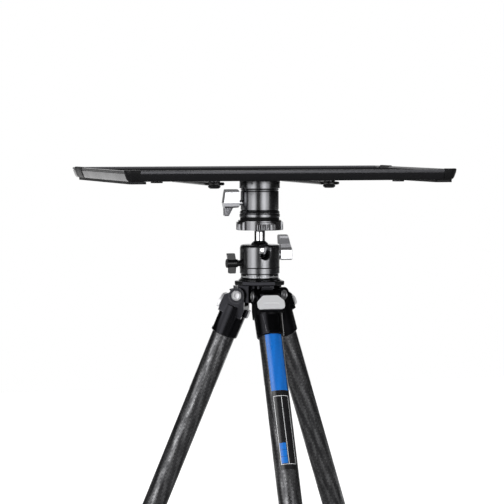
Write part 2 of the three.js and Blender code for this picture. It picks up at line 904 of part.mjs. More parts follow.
// The pan base carries the degree scale; its zero is the middle of its foot
function panBaseBody() {
  const { flareRadius, flangeHeight, flareHeight, radius, height } = panBase;
  const { bossRadius, bossRise, ringInner, ringOuter, ringRise } = panBase;
  const outside = revolve(
    [
      [0, 0],
      [flareRadius, 0],
      [flareRadius, flangeHeight],
      [radius, flareHeight],
      [radius, height],
      [ringOuter, height],
      [ringOuter, height + ringRise],
      [ringInner, height + ringRise],
      [ringInner, height],
      [bossRadius, height],
      [bossRadius, height + bossRise],
      [0, height + bossRise],
    ],
    sides.large,
  );
  return cut(outside, rodZ(screwHole, -overrun, panBase.holeRise + fit, sides.tiny));
}

// The ball lever's zero is on its shaft's axis, at the housing's axis; it points towards +X
function ballLeverBody() {
  const { start, length, hubHigh, hubLow, paddleHigh, paddleInset, paddleLength } = ballLever;
  const { corner, shaftRadius } = ballLever;
  const inner = housing.radius + start;
  const paddleInner = housing.radius - paddleInset;
  const rimRise = housing.ballDepth + ballLever.axisDrop;
  const outer = inner + length;
  const hubShape = roundedShape([
    [inner, -hubLow, corner],
    [outer, -hubLow, corner],
    [outer, hubHigh, 0],
    [inner, hubHigh, corner],
  ]);
  const paddleShape = roundedShape([
    [inner, 0, 0],
    [outer, 0, 0],
    [outer, hubHigh, corner],
    [paddleInner + paddleLength, paddleHigh, corner],
    [paddleInner, paddleHigh, corner],
    [paddleInner, rimRise, 0],
    [inner, hubHigh + corner, 0],
  ]);
  return join(
    sidePlate(hubShape, ballLever.thickness),
    sidePlate(paddleShape, ballLever.paddleThickness),
    rodX(shaftRadius, housing.seatRadius + fit, inner + corner, sides.tiny),
  );
}

// The pan knob's zero is on its shaft's axis, at the housing's axis; it points towards -X
function panKnobBody() {
  const { start, length, hubRadius, wingReach, wingThickness, wingTaper } = panKnob;
  const { shaftRadius, collarRadius, collarLength } = panKnob;
  const inner = -housing.radius - start;
  const outer = inner - length;
  const wingShape = roundedShape([
    [inner - wingTaper / 2, -wingReach, wingTaper / 2],
    [inner, 0, 0],
    [inner - wingTaper, wingReach, wingTaper / 2],
    [outer, wingReach, wingTaper / 2],
    [outer + wingTaper, 0, 0],
    [outer + wingTaper, -wingReach, wingTaper / 2],
  ]);
  return join(
    sidePlate(wingShape, wingThickness),
    rodX(hubRadius, outer - fit, inner - fit, sides.small),
    rodX(collarRadius, inner - collarLength / 2, inner + collarLength / 2, sides.tiny),
    rodX(shaftRadius, inner - fit, -panBase.ringOuter - turnFit, sides.tiny),
  );
}

// The spider. Its zero is the middle of the leg hinges' plane.

const plateTop = spider.plateRise + spider.plateThickness;

// A stop tooth, drawn against the tab's tongue at the stop's lean
function stopTooth(lean) {
  const low = -angleTab.tongueTop + fit;
  const toothShape = roundedShape([
    [spider.lugRadius - spider.toothThickness, low],
    [spider.toothTip, low],
    [spider.toothTip - spider.toothThickness / 4, low + spider.toothThickness],
    [spider.lugRadius - spider.toothThickness, low + spider.toothThickness],
  ]);
  return sidePlate(toothShape, angleTab.tongueWidth).rotateY(-radians(lean));
}

function spiderBody() {
  const { hingeRadius, plateCorners, plateRadius, plateRise, plateEdge } = spider;
  const { hubRadius, lugWidth, lugRadius } = spider;
  const topPlate = revolve(
    [
      [0, plateRise],
      [plateRadius - plateEdge, plateRise],
      [plateRadius, plateRise + plateEdge],
      [plateRadius, plateTop - plateEdge / 2],
      [plateRadius - plateEdge / 2, plateTop],
      [0, plateTop],
    ],
    plateCorners,
  );
  const hub = rodZ(hubRadius, -lugRadius, plateRise + plateEdge, sides.medium);
  const parts = [topPlate.rotateZ(Math.PI / plateCorners), hub];
  const recessTop = -lugRadius + spider.screwRecess;
  const holes = [
    rodZ(headScrew.headRadius + fit, -lugRadius - overrun, recessTop, sides.small),
    rodZ(screwHole, -lugRadius, plateTop + overrun, sides.tiny),
  ];
  for (let i = 0; i < leg.count; i++) {
    const heading = legHeading(i);
    const lug = join(
      rodY(lugRadius, -lugWidth / 2, lugWidth / 2, sides.medium),
      slab(-hingeRadius, 0, -lugWidth / 2, lugWidth / 2, -lugRadius, plateRise + plateEdge),
      ...[leg.lean, ...leg.widerStops].map(stopTooth),
    );
    parts.push(lug.translate(hingeRadius, 0, 0).rotateZ(heading));
    const hole = rodY(hingePin.radius + fit, -lugWidth / 2 - overrun, lugWidth / 2 + overrun, sides.tiny);
    holes.push(hole.translate(hingeRadius, 0, 0).rotateZ(heading));
  }
  return cut(join(...parts), ...holes);
}

const hexSides = 6;
const keySocketRadius = hingePin.socketFlats / Math.sqrt(3);

// The screw that holds the head on the spider, with a hexagonal socket in its head
function spiderScrew() {
  const headTop = -spider.lugRadius + spider.screwRecess - fit;
  const headLow = headTop - 2 * headScrew.headHeight;
  const top = plateTop + fit + panBase.holeRise;
  const screw = revolve(
    [
      [0, headLow],
      [headScrew.headRadius - hingePin.headEdge, headLow],
      [headScrew.headRadius, headLow + hingePin.headEdge],
      [headScrew.headRadius, headTop],
      [headScrew.radius, headTop],
      [headScrew.radius, top],
      [0, top],
    ],
    sides.small,
  );
  return cut(screw, rodZ(keySocketRadius, headLow - overrun, headLow + hingePin.socketDepth, hexSides));
}

function legHeading(i) {
  return towards.front + (i * 2 * Math.PI) / leg.count;
}

// The leg hinge's bolt: a head in each ear, with a hexagonal socket
function hingePinBody() {
  const { radius, headRadius, headHeight, headEdge, socketDepth } = hingePin;
  const headLow = fitting.earOuter + fit;
  const headTop = headLow + headHeight;
  const profile = [
    [radius, 0],
    [radius, headLow],
    [headRadius, headLow],
    [headRadius, headTop - headEdge],
    [headRadius - headEdge, headTop],
    [0, headTop],
  ];
  const mirrored = profile.slice(1).reverse().map(([r, y]) => [r, -y]);
  const bolt = revolve([...mirrored, ...profile.slice(1)], sides.small).rotateX(-quarterTurn);
  return cut(
    bolt,
    rodY(keySocketRadius, headTop - socketDepth, headTop + overrun, hexSides),
    rodY(keySocketRadius, -headTop - overrun, -headTop + socketDepth, hexSides),
  );
}

// The leg. Its zero is the hinge, +X out from the tripod's axis, and the leg runs down -Z.

const tubeRadius = (n) => tubes.radius - tubes.step * n;
const tubeBore = (n) => tubeRadius(n + 1) + fit;
const sectionEnd = (n) => tubes.firstEnd + tubes.pitch * n; // with the leg closed
const sectionReach = sectionEnd(0) - (sectionEnd(1) - tubes.length) - tubes.overlap;
const lastSection = tubes.sections - 1;

function fittingBody() {
  const { earRadius, earOuter, ringOuter, radius, footRadius, bodyStart, length, edge } = fitting;
  const { faceReach, faceStart, faceEnd, panelWidth, panelFootWidth, panelStart, panelEnd } = fitting;
  const cheekShape = roundedShape([
    [-earRadius, 0],
    [-faceReach, -bodyStart - edge],
    [-faceReach, -faceEnd],
    [faceReach, -faceEnd],
    [faceReach, -faceStart],
    [earRadius, fit],
  ]);
  const body = revolve(
    [
      [0, -length],
      [footRadius - edge, -length],
      [footRadius, -length + edge],
      [radius, -faceEnd],
      [radius, -bodyStart - edge],
      [radius - edge, -bodyStart],
      [0, -bodyStart],
    ],
    sides.medium,
  );
  const innerLug = slab(
    -radius - fitting.lugReach,
    -radius + edge,
    -fitting.lugWidth / 2,
    fitting.lugWidth / 2,
    -fitting.lugStart - fitting.lugLength,
    -fitting.lugStart,
  );
  const ears = rodY(earRadius, -ringOuter, ringOuter, sides.medium);
  const slotHalf = spider.lugWidth / 2 + fit;
  const tongueFloor = -angleTab.tongueTop - angleTab.tongueThickness - fit;
  const lugGap = spider.lugRadius + fit;
  const wide = radius + fitting.lugReach + overrun;
  const headGap = hingePin.headRadius + fit;
  const tubeGap = tubeRadius(0) + fit;
  const panelShape = roundedShape([
    [-panelFootWidth / 2, -panelEnd, edge],
    [panelFootWidth / 2, -panelEnd, edge],
    [panelWidth / 2, -panelStart, edge],
    [-panelWidth / 2, -panelStart, edge],
  ]);
  const panelFloor = rodZ(footRadius - fitting.panelDepth, -length, 0, sides.medium);
  const panel = cut(facePlate(panelShape, 0, wide), panelFloor);
  return cut(
    join(body, sidePlate(cheekShape, 2 * earOuter), ears, innerLug),
    slab(faceReach, wide, -wide, wide, -faceEnd, wide),
    rodY(lugGap, -slotHalf, slotHalf, sides.medium),
    slab(0, wide, -slotHalf, slotHalf, tongueFloor, wide),
    slab(-wide, 0, -slotHalf, slotHalf, -lugGap, wide),
    rodY(hingePin.radius + fit, -wide, wide, sides.tiny),
    rodY(headGap, earOuter, wide, sides.small),
    rodY(headGap, -wide, -earOuter, sides.small),
    rodZ(tubeGap, -length - overrun, -fitting.tubeStop, sides.small),
    panel,
  );
}

// The sprung tab that stops the leg: a plate on the leg's outer face, with a tongue for the spider's teeth
function angleTabBody() {
  const { topHalf, halfWidth, start, shoulderEnd, end, thickness, corner, tongueWidth } = angleTab;
  const back = fitting.faceReach + fit;
  const outline = roundedShape(
    [
      [-topHalf, -start, corner],
      [-halfWidth, -shoulderEnd, corner],
      [-halfWidth, -end, corner],
      [halfWidth, -end, corner],
      [halfWidth, -shoulderEnd, corner],
      [topHalf, -start, corner],
    ],
    sides.edge,
  );
  const tongue = slab(
    spider.lugRadius + 2 * fit,
    back + thickness / 2,
    -tongueWidth / 2 + fit,
    tongueWidth / 2 - fit,
    -angleTab.tongueTop - angleTab.tongueThickness,
    -angleTab.tongueTop,
  );
  const face = back + thickness;
  const grip = slab(
    face - angleTab.gripDepth,
    face + overrun,
    -angleTab.gripHalf,
    angleTab.gripHalf,
    -angleTab.gripStart - angleTab.gripHeight,
    -angleTab.gripStart,
  );
  return cut(join(facePlate(outline, back, face), tongue), grip);
}

// A tube with its zero at its lower end
function tubeBody(n, length, bore) {
  const outer = tubeRadius(n);
  return revolve(
    closed([
      [bore, 0],
      [outer, 0],
      [outer, length],
      [bore, length],
    ]),
    sides.small,
  );
}

// A twist collar: it turns on the end of tube n and grips tube n + 1. Its zero is that end of tube n.
function collarBody(n) {
  const inner = tubeRadius(n) + turnFit;
  const outer = tubeRadius(n) + collar.wall;
  const grip = tubeRadius(n + 1) + turnFit;
  return revolve(
    closed([
      [grip, -collar.below],
      [grip + collar.edge, -collar.below],
      [outer, -collar.below + collar.nose],
      [outer, collar.above - collar.edge],
      [outer - collar.edge, collar.above],
      [inner, collar.above],
      [inner, -fit],
      [grip, -fit],
    ]),
    sides.small,
  );
}

// The rubber foot's zero is the end of the thinnest tube; the floor cuts its ball flat
function footBody(standing) {
  const { radius, neckRadius, neckDrop, centreDrop, plugLength, shoulder } = foot;
  const profile = [];
  const shoulderAngle = Math.asin((centreDrop - shoulder) / radius);
  for (let k = 0; k <= sides.corner; k++) {
    const angle = -quarterTurn + ((shoulderAngle + quarterTurn) * k) / sides.corner;
    profile.push([k === 0 ? 0 : radius * Math.cos(angle), -centreDrop + radius * Math.sin(angle)]);
  }
  profile.push([neckRadius, -neckDrop]);
  profile.push([neckRadius - neckDrop / 2, -fit]);
  profile.push([lastBore - fit, -fit]);
  profile.push([lastBore - fit, plugLength]);
  profile.push([0, plugLength]);
  const floor = slab(-2 * radius, 2 * radius, -2 * radius, 2 * radius, -3 * radius, 0);
  floor.translate(0, 0, -radius + foot.flat);
  floor.rotateY(standing).translate(0, 0, -centreDrop);
  return cut(revolve(profile, sides.small), floor);
}

const lastBore = tubeRadius(lastSection) - tubes.step + fit;
const footEnd = sectionEnd(lastSection);
const standingReach = footEnd + sectionReach + foot.centreDrop;
const hingeHeight = standingReach * Math.cos(radians(leg.lean)) + foot.radius - foot.flat;

function buildLeg(parent, i) {
  const name = ['front', 'right', 'left'][i];
  const heading = groupAt(parent, 0, 0, 0);
  heading.rotation.z = legHeading(i);
  const hinge = groupAt(heading, spider.hingeRadius, 0, 0);
  piece(hinge, `${name}_hinge_pin`, hingePinBody(), 'silver');
  const leaning = groupAt(hinge, 0, 0, 0);
  leaning.rotation.y = -radians(leg.lean);
  piece(leaning, `${name}_leg_fitting`, fittingBody(), 'magnesium');
  piece(leaning, `${name}_angle_tab`, angleTabBody(), 'silver');

  const firstLength = sectionEnd(0) - fitting.tubeStop - fit;
  let section = groupAt(leaning, 0, 0, -sectionEnd(0));
  piece(section, `${name}_tube_1`, tubeBody(0, firstLength, tubeBore(0)), 'carbon');
  piece(section, `${name}_twist_collar_1`, collarBody(0), 'rubber');
  for (let n = 1; n <= lastSection; n++) {
    const drop = tubes.pitch + (n === 1 ? sectionReach : 0);
    section = groupAt(section, 0, 0, -drop);
    const bore = n < lastSection ? tubeBore(n) : lastBore;
    piece(section, `${name}_tube_${n + 1}`, tubeBody(n, tubes.length, bore), 'carbon');
    if (n < lastSection) piece(section, `${name}_twist_collar_${n + 1}`, collarBody(n), 'rubber');
    else piece(section, `${name}_foot`, footBody(radians(leg.lean)), 'rubber');
  }
}

// The whole table, from the floor up

const table = new THREE.Group();
const hingePlane = groupAt(table, 0, 0, hingeHeight);
for (let i = 0; i < leg.count; i++) buildLeg(hingePlane, i);
piece(hingePlane, 'spider', spiderBody(), 'magnesium');
piece(hingePlane, 'head_screw', spiderScrew(), 'steel');

const headFoot = groupAt(hingePlane, 0, 0, plateTop + fit);
piece(headFoot, 'pan_base', panBaseBody(), 'anodised');

const housingFoot = groupAt(headFoot, 0, 0, panBase.height + fit);
piece(housingFoot, 'ball_housing', housingBody(), 'anodised');
piece(housingFoot, 'ball_seat', ballSeat(), 'plastic');
const ballLeverAxis = groupAt(housingFoot, 0, 0, ballRise - ballLever.axisDrop);
piece(ballLeverAxis, 'ball_lock_lever', ballLeverBody(), 'silver');
piece(groupAt(housingFoot, 0, 0, panKnob.axisRise), 'pan_lock_knob', panKnobBody(), 'anodised');

const ballCentre = groupAt(housingFoot, 0, 0, ballRise);
piece(ballCentre, 'ball_and_stem', ballAndStem(), 'polished');

const stemTop = groupAt(ballCentre, 0, 0, ball.stemReach + fit);
piece(stemTop, 'stem_base', stemBaseBody(), 'anodised');
piece(stemTop, 'release_ring', releaseRingBody(), 'anodised');

const postFoot = groupAt(stemTop, 0, 0, stemBase.discHeight + stemBase.neckHeight + fit);
piece(postFoot, 'post_body', postBody(), 'anodised');
piece(groupAt(postFoot, 0, 0, clampLever.axisRise), 'post_clamp_lever', clampLeverBody(), 'silver');

buildTray(groupAt(postFoot, 0, 0, postHeight + fit - bossPlateLow));

// The origin is on the floor, below the middle of the whole outline
const extent = new THREE.Box3().setFromObject(table, true);
table.position.y = -(extent.min.y + extent.max.y) / 2;

export default table;
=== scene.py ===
import bpy
import bmesh
import json
import math
from mathutils import Matrix, Vector


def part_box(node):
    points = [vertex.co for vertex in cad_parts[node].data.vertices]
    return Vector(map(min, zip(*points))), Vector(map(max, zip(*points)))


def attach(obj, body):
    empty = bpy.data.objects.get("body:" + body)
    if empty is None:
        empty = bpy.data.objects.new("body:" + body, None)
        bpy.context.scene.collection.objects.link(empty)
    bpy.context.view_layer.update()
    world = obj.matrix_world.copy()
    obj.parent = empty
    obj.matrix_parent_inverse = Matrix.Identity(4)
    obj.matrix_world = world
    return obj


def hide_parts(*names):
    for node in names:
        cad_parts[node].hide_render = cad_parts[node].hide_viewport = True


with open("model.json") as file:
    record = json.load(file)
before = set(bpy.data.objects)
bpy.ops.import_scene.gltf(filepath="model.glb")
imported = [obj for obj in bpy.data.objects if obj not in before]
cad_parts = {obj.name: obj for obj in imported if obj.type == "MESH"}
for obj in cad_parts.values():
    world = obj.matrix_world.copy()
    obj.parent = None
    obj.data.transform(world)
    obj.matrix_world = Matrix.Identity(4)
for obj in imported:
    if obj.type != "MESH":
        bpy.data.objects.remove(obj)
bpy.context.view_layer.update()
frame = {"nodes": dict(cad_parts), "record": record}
nodes = frame["nodes"]
mm = 0.001
print("frame loaded,", len(nodes), "pieces of the packed model")


def boxMiddle(node):
    low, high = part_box(node)
    return (low + high) / 2


# The places that the rest of the scene is measured from
stem = boxMiddle("tray_boss_plate")
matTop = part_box("tray_mat")[1].z
stemAt = Vector((stem.x, stem.y, 0))

# Camera

cameraSetup = {
    "fromStem": (-0.8715, -2.8412, 0.0545),  # from the stem's axis and the mat's top face
    "lookFromStem": (0.0040, 0.0450, -0.1009),
    "lens": 177.0,
    "sensor": 36.0,
    "clipEnd": 200.0,
}
viewTurn = math.degrees(math.atan2(cameraSetup["fromStem"][0], -cameraSetup["fromStem"][1]))


def aim(thing, place, target):
    # Puts a camera or a lamp in the scene, turned towards the target
    bpy.context.scene.collection.objects.link(thing)
    thing.location = place
    thing.rotation_mode = "QUATERNION"
    thing.rotation_quaternion = (target - place).to_track_quat("-Z", "Y")


def addCamera():
    data = bpy.data.cameras.new("studioCamera")
    data.lens = cameraSetup["lens"]
    data.sensor_width = cameraSetup["sensor"]
    data.clip_end = cameraSetup["clipEnd"]
    camera = bpy.data.objects.new("studioCamera", data)
    origin = stemAt + Vector((0, 0, matTop))
    aim(camera, origin + Vector(cameraSetup["fromStem"]), origin + Vector(cameraSetup["lookFromStem"]))
    bpy.context.scene.camera = camera


# Lamps, world and floor

studio = {
    "world": 0.22,
    "dimRoom": 0.03,  # how light the room at the sides and in front looks in the metal
    "skyGlow": 0.85,  # and the ceiling above it
    "skyFrom": (0.80, 0.95),  # how steeply up it begins
    "backdropHalf": (22.0, 34.0),  # degrees either side of the view, white and then dim
    "floorColour": (0.80, 0.80, 0.80),
    "frontFloor": (0.23, 0.23, 0.23),  # as metal sees it on the camera's side
    "floorRoughness": 0.9,
    "floorHalf": 6.0,
    "floorFade": (0.6, 2.3),  # from the stem, where the pale floor turns into the white backdrop
    "whiteFloorFrom": (1.0, 2.0),  # how far back it turns white in the metal too
}
lamps = [
    # name, turn to the right of the camera, distance, height, height it aims at, width, tall, watts
    ("leftSoftbox", -46.0, 2.4, 1.72, 1.72, 2.3, 3.3, 46),
    ("leftCore", -38.0, 2.3, 1.47, 1.47, 0.9, 2.8, 13),
    ("rightSoftbox", 31.0, 2.4, 0.90, 0.75, 2.3, 1.3, 20),
    ("rightCore", 27.0, 2.3, 0.90, 0.75, 0.8, 1.3, 7),
    ("rimStrip", 108.0, 2.2, 2.5, 0.75, 0.35, 1.7, 7),
    ("backSoftbox", 190.0, 2.6, 3.0, 0.75, 2.0, 1.4, 16),
    ("ceilingSoftbox", 0.0, 0.0, 2.9, 0.0, 2.4, 2.4, 24),
]
white = (1, 1, 1, 1)


def sideways(turn, distance, height):
    # A place round the stem, turned from the camera's side
    angle = math.radians(viewTurn + turn)
    return stemAt + Vector((math.sin(angle) * distance, -math.cos(angle) * distance, height))


towardsBackdrop = sideways(180, 1, 0) - stemAt


def addLamp(name, place, target, width, tall, watts):
    data = bpy.data.lights.new(name, "AREA")
    data.shape = "RECTANGLE"
    data.size = width
    data.size_y = tall
    data.energy = watts
    aim(bpy.data.objects.new(name, data), place, target)


class Wiring:
    # Adds nodes to a tree and links them with short calls

    def __init__(self, tree):
        self.tree = tree
        tree.nodes.clear()

    def add(self, kind, **settings):
        node = self.tree.nodes.new(kind)
        for name, value in settings.items():
            setattr(node, name, value)
        return node

    def feed(self, socket, source):
        if hasattr(source, "is_linked"):
            self.tree.links.new(source, socket)
        else:
            socket.default_value = source

    def feedAll(self, sockets, *sources):
        for socket, source in zip(sockets, sources):
            self.feed(socket, source)

    def math(self, operation, *values):
        node = self.add("ShaderNodeMath", operation=operation)
        self.feedAll(node.inputs, *values)
        return node.outputs[0]

    def mix(self, factor, *colours):
        node = self.add("ShaderNodeMix", data_type="RGBA")
        self.feed(node.inputs["Factor"], factor)
        for socket, colour in zip(node.inputs[6:8], colours):
            self.feed(socket, (*colour, 1.0) if isinstance(colour, tuple) else colour)
        return node.outputs[2]

    def choose(self, factor, a, b):
        node = self.add("ShaderNodeMix", data_type="FLOAT")
        self.feed(node.inputs["Factor"], factor)
        self.feedAll(node.inputs[2:4], a, b)
        return node.outputs[0]

    def span(self, value, low, high, toLow=0.0, toHigh=1.0):
        node = self.add("ShaderNodeMapRange")
        self.feedAll(node.inputs, value, low, high, toLow, toHigh)
        return node.outputs[0]

    def along(self, vector, heading):
        node = self.add("ShaderNodeVectorMath", operation="DOT_PRODUCT")
        self.feedAll(node.inputs, vector, heading)
        return node.outputs["Value"]

    def axis(self, vector, name):
        node = self.add("ShaderNodeSeparateXYZ")
        self.feed(node.inputs[0], vector)
        return node.outputs[name]

    def turn(self, vector, angle):
        node = self.add("ShaderNodeVectorRotate", rotation_type="Z_AXIS")
        self.feed(node.inputs["Vector"], vector)
        self.feed(node.inputs["Angle"], angle)
        return node.outputs[0]

    def coords(self, kind="Object"):
        return self.add("ShaderNodeTexCoord").outputs[kind]

    def noise(self, vector, scale, detail=2.0, distortion=0.0):
        node = self.add("ShaderNodeTexNoise")
        values = {"Vector": vector, "Scale": scale, "Detail": detail, "Distortion": distortion}
        for label, source in values.items():
            self.feed(node.inputs[label], source)
        return node.outputs["Fac"]

    def mirrored(self, path):
        # 1 for what is seen in metal or through glass
        return self.math("MAXIMUM", path["Is Glossy Ray"], path["Is Transmission Ray"])


def addWorld():
    world = bpy.data.worlds.new("studioWorld")
    bpy.context.scene.world = world
    world.use_nodes = True
    w = Wiring(world.node_tree)
    path = w.add("ShaderNodeLightPath").outputs
    heading = w.coords("Generated")
    # The backdrop behind the object is white; metal sees it there, and a dim room elsewhere
    whiteEdge, dimEdge = (math.cos(math.radians(edge)) for edge in studio["backdropHalf"])
    behind = w.span(w.along(heading, towardsBackdrop), dimEdge, whiteEdge, studio["dimRoom"], 1.0)
    above = w.span(w.axis(heading, "Z"), *studio["skyFrom"], 0.0, studio["skyGlow"])
    lit = w.choose(w.mirrored(path), studio["world"], w.math("MAXIMUM", behind, above))
    background = w.add("ShaderNodeBackground")
    w.feedAll(background.inputs, white, w.math("MAXIMUM", path["Is Camera Ray"], lit))
    w.feed(w.add("ShaderNodeOutputWorld").inputs["Surface"], background.outputs[0])


def addFloor():
    half = studio["floorHalf"]
    mesh = bpy.data.meshes.new("floor")
    corners = [(-half, -half, 0), (half, -half, 0), (half, half, 0), (-half, half, 0)]
    mesh.from_pydata(corners, [], [(0, 1, 2, 3)])
    floor = bpy.data.objects.new("floor", mesh)
    bpy.context.scene.collection.objects.link(floor)
    material, w, shader = startMaterial("paleFloor", {})
    path = w.add("ShaderNodeLightPath").outputs
    shader["Roughness"].default_value = studio["floorRoughness"]
    shader["Emission Color"].default_value = white
    # Near the object the floor is pale and keeps the shadow; further out it is the white backdrop
    here = w.add("ShaderNodeNewGeometry").outputs["Position"]
    far = w.add("ShaderNodeVectorMath", operation="DISTANCE")
    w.feedAll(far.inputs, here, stemAt)
    fade = w.span(far.outputs["Value"], *studio["floorFade"])
    # Metal sees that white floor too, on the backdrop's side of the object
    backdropSide = w.span(w.along(here, towardsBackdrop), *studio["whiteFloorFrom"])
    mirrored = w.mirrored(path)
    seen = w.math("MAXIMUM", path["Is Camera Ray"], w.math("MULTIPLY", mirrored, backdropSide))
    w.feed(shader["Emission Strength"], w.math("MULTIPLY", seen, fade))
    # In front, where the lamps stand, metal sees the floor as dim as the room there
    dimmed = w.math("MULTIPLY", mirrored, w.math("SUBTRACT", 1.0, backdropSide))
    w.feed(shader["Base Color"], w.mix(dimmed, studio["floorColour"], studio["frontFloor"]))
    mesh.materials.append(material)


def startMaterial(name, look):
    # Gives the material, its wiring and its shader's sockets
    material = bpy.data.materials.new(name)
    material.use_nodes = True
    w = Wiring(material.node_tree)
    shader = w.add("ShaderNodeBsdfPrincipled")
    shader.inputs["Metallic"].default_value = look.get("metallic", 0.0)
    w.feed(w.add("ShaderNodeOutputMaterial").inputs["Surface"], shader.outputs[0])
    return material, w, shader.inputs


addCamera()
for name, turn, distance, height, aimHeight, width, tall, watts in lamps:
    addLamp(name, sideways(turn, distance, height), stemAt + Vector((0, 0, aimHeight)), width, tall, watts)
addWorld()
addFloor()
bpy.context.scene.view_settings.view_transform = "Standard"
print("camera, lamps and floor placed")

# Shader node groups: effects that several finishes share


def newGroup(name, inputs, outputs):
    # Each input is a float with its first value, or a vector where that is None; the outputs are floats
    group = bpy.data.node_groups.new(name, "ShaderNodeTree")
    for label, value in inputs.items():
        kind = "NodeSocketVector" if value is None else "NodeSocketFloat"
        socket = group.interface.new_socket(name=label, in_out="INPUT", socket_type=kind)
        if value is not None:
            socket.default_value = value
    for label in outputs:
        group.interface.new_socket(name=label, in_out="OUTPUT", socket_type="NodeSocketFloat")
    w = Wiring(group)
    return group, w, w.add("NodeGroupInput").outputs, w.add("NodeGroupOutput").inputs


wearShape = {
    "samples": 6,
    "turned": (0.995, 0.80),  # the rounded normal against the face's own, from no wear to full wear
    "detail": 4,
    "broken": (0.35, 0.62),
}


def buildEdgeWear():
    # A mask that is 1 on outside edges, broken up by noise
    inputs = {"Width": 0.0006, "Break Scale": 400.0, "Amount": 1.0}
    group, w, given, put = newGroup("edgeWear", inputs, ["Mask"])
    rounded = w.add("ShaderNodeBevel", samples=wearShape["samples"])
    w.feed(rounded.inputs["Radius"], given["Width"])
    alike = w.along(rounded.outputs[0], w.add("ShaderNodeNewGeometry").outputs["Normal"])
    noise = w.noise(w.coords(), given["Break Scale"], wearShape["detail"])
    edge = w.math("MULTIPLY", w.span(alike, *wearShape["turned"]), w.span(noise, *wearShape["broken"]))
    w.feed(put["Mask"], w.math("MULTIPLY", edge, given["Amount"]))
    return group


handlingShape = {"smudgeDetail": 3, "smudgeDistortion": 0.6, "spread": (0.3, 0.7)}


def buildHandling():
    # Broad smudges and fine speckle, for roughness and colour that aren't quite even
    inputs = {"Smudge Scale": 14.0, "Speckle Scale": 900.0}
    group, w, given, put = newGroup("handling", inputs, ["Smudge", "Speckle"])
    smudge = w.noise(w.coords(), given["Smudge Scale"], handlingShape["smudgeDetail"],
                     handlingShape["smudgeDistortion"])
    speckle = w.noise(w.coords(), given["Speckle Scale"])
    w.feed(put["Smudge"], w.span(smudge, *handlingShape["spread"]))
    w.feed(put["Speckle"], w.span(speckle, *handlingShape["spread"]))
    return group


def buildTurnedLines():
    # Fine rings that a lathe leaves, along the given coordinate
    group, w, given, put = newGroup("turnedLines", {"Along": 0.0, "Lines Per Metre": 2600.0}, ["Height"])
    combine = w.add("ShaderNodeCombineXYZ")
    w.feed(combine.inputs["X"], w.math("MULTIPLY", given["Along"], given["Lines Per Metre"]))
    noise = w.add("ShaderNodeTexNoise", noise_dimensions="2D")
    w.feed(noise.inputs["Scale"], 1.0)
    w.feed(noise.inputs["Vector"], combine.outputs[0])
    w.feed(put["Height"], noise.outputs["Fac"])
    return group


weaveShape = {"over": 1.5, "repeat": 4.0, "bulge": 3.0, "strands": 14.0}


def buildFibreWeave():
    # A two-over-two twill of flat tows, from coordinates in metres round and along a tube
    inputs = {"Vector": None, "Tow Width": 0.003, "Turn": 0.785}
    group, w, given, put = newGroup("fibreWeave", inputs, ["Tow", "Height", "Strand"])
    turned = w.turn(given["Vector"], given["Turn"])
    across = w.math("DIVIDE", w.axis(turned, "X"), given["Tow Width"])
    along = w.math("DIVIDE", w.axis(turned, "Y"), given["Tow Width"])
    # Which tow lies on top: two cells over, two under, shifted by one at each row
    cells = w.math("ADD", w.math("FLOOR", across), w.math("FLOOR", along))
    step = w.math("FLOORED_MODULO", cells, weaveShape["repeat"])
    onTop = w.math("LESS_THAN", step, weaveShape["over"])
    inAcross = w.math("SUBTRACT", w.math("FRACT", across), 0.5)
    inAlong = w.math("SUBTRACT", w.math("FRACT", along), 0.5)
    bulge = w.choose(onTop, w.math("MULTIPLY", inAcross, inAcross), w.math("MULTIPLY", inAlong, inAlong))
    fibres = w.choose(onTop, w.math("MULTIPLY", across, weaveShape["strands"]),
                      w.math("MULTIPLY", along, weaveShape["strands"]))
    w.feed(put["Tow"], onTop)
    w.feed(put["Height"], w.math("SUBTRACT", 1.0, w.math("MULTIPLY", bulge, weaveShape["bulge"])))
    w.feed(put["Strand"], w.math("MULTIPLY_ADD", w.math("SINE", fibres), 0.5, 0.5))
    return group


edgeWear = buildEdgeWear()
handling = buildHandling()
turnedLines = buildTurnedLines()
fibreWeave = buildFibreWeave()
print("shader node groups built")

# Finishes. In their dictionaries "smudges" is the scale of the smudges and of the speckle, "wear" the width,
# scale and amount of the edge wear, and "relief" the depth and strength of the bump


def useGroup(w, group, **values):
    node = w.add("ShaderNodeGroup")
    node.node_tree = group
    for label, value in values.items():
        w.feed(node.inputs[label.replace("_", " ")], value)
    return node.outputs


def handle(w, shader, look, by="Smudge"):
    # Makes the roughness uneven, and gives the smudges and the speckle
    smudgeScale, speckleScale = look["smudges"]
    touch = useGroup(w, handling, Smudge_Scale=smudgeScale, Speckle_Scale=speckleScale)
    w.feed(shader["Roughness"], w.span(touch[by], 0.0, 1.0, *look["roughness"]))
    return touch["Smudge"], touch["Speckle"]


def wearOff(w, shader, look, base):
    width, breakScale, amount = look["wear"]
    mask = useGroup(w, edgeWear, Width=width, Break_Scale=breakScale, Amount=amount)["Mask"]
    w.feed(shader["Base Color"], w.mix(mask, base, look["worn"]))


def emboss(w, shader, look, height):
    bump = w.add("ShaderNodeBump")
    w.feed(bump.inputs["Height"], height)
    for label, value in zip(("Distance", "Strength"), look["relief"]):
        bump.inputs[label].default_value = value
    w.feed(shader["Normal"], bump.outputs[0])


def turnedRings(w, look):
    rings = useGroup(w, turnedLines, Along=w.axis(w.coords(), "Z"), Lines_Per_Metre=look["linesPerMetre"])
    return rings["Height"]


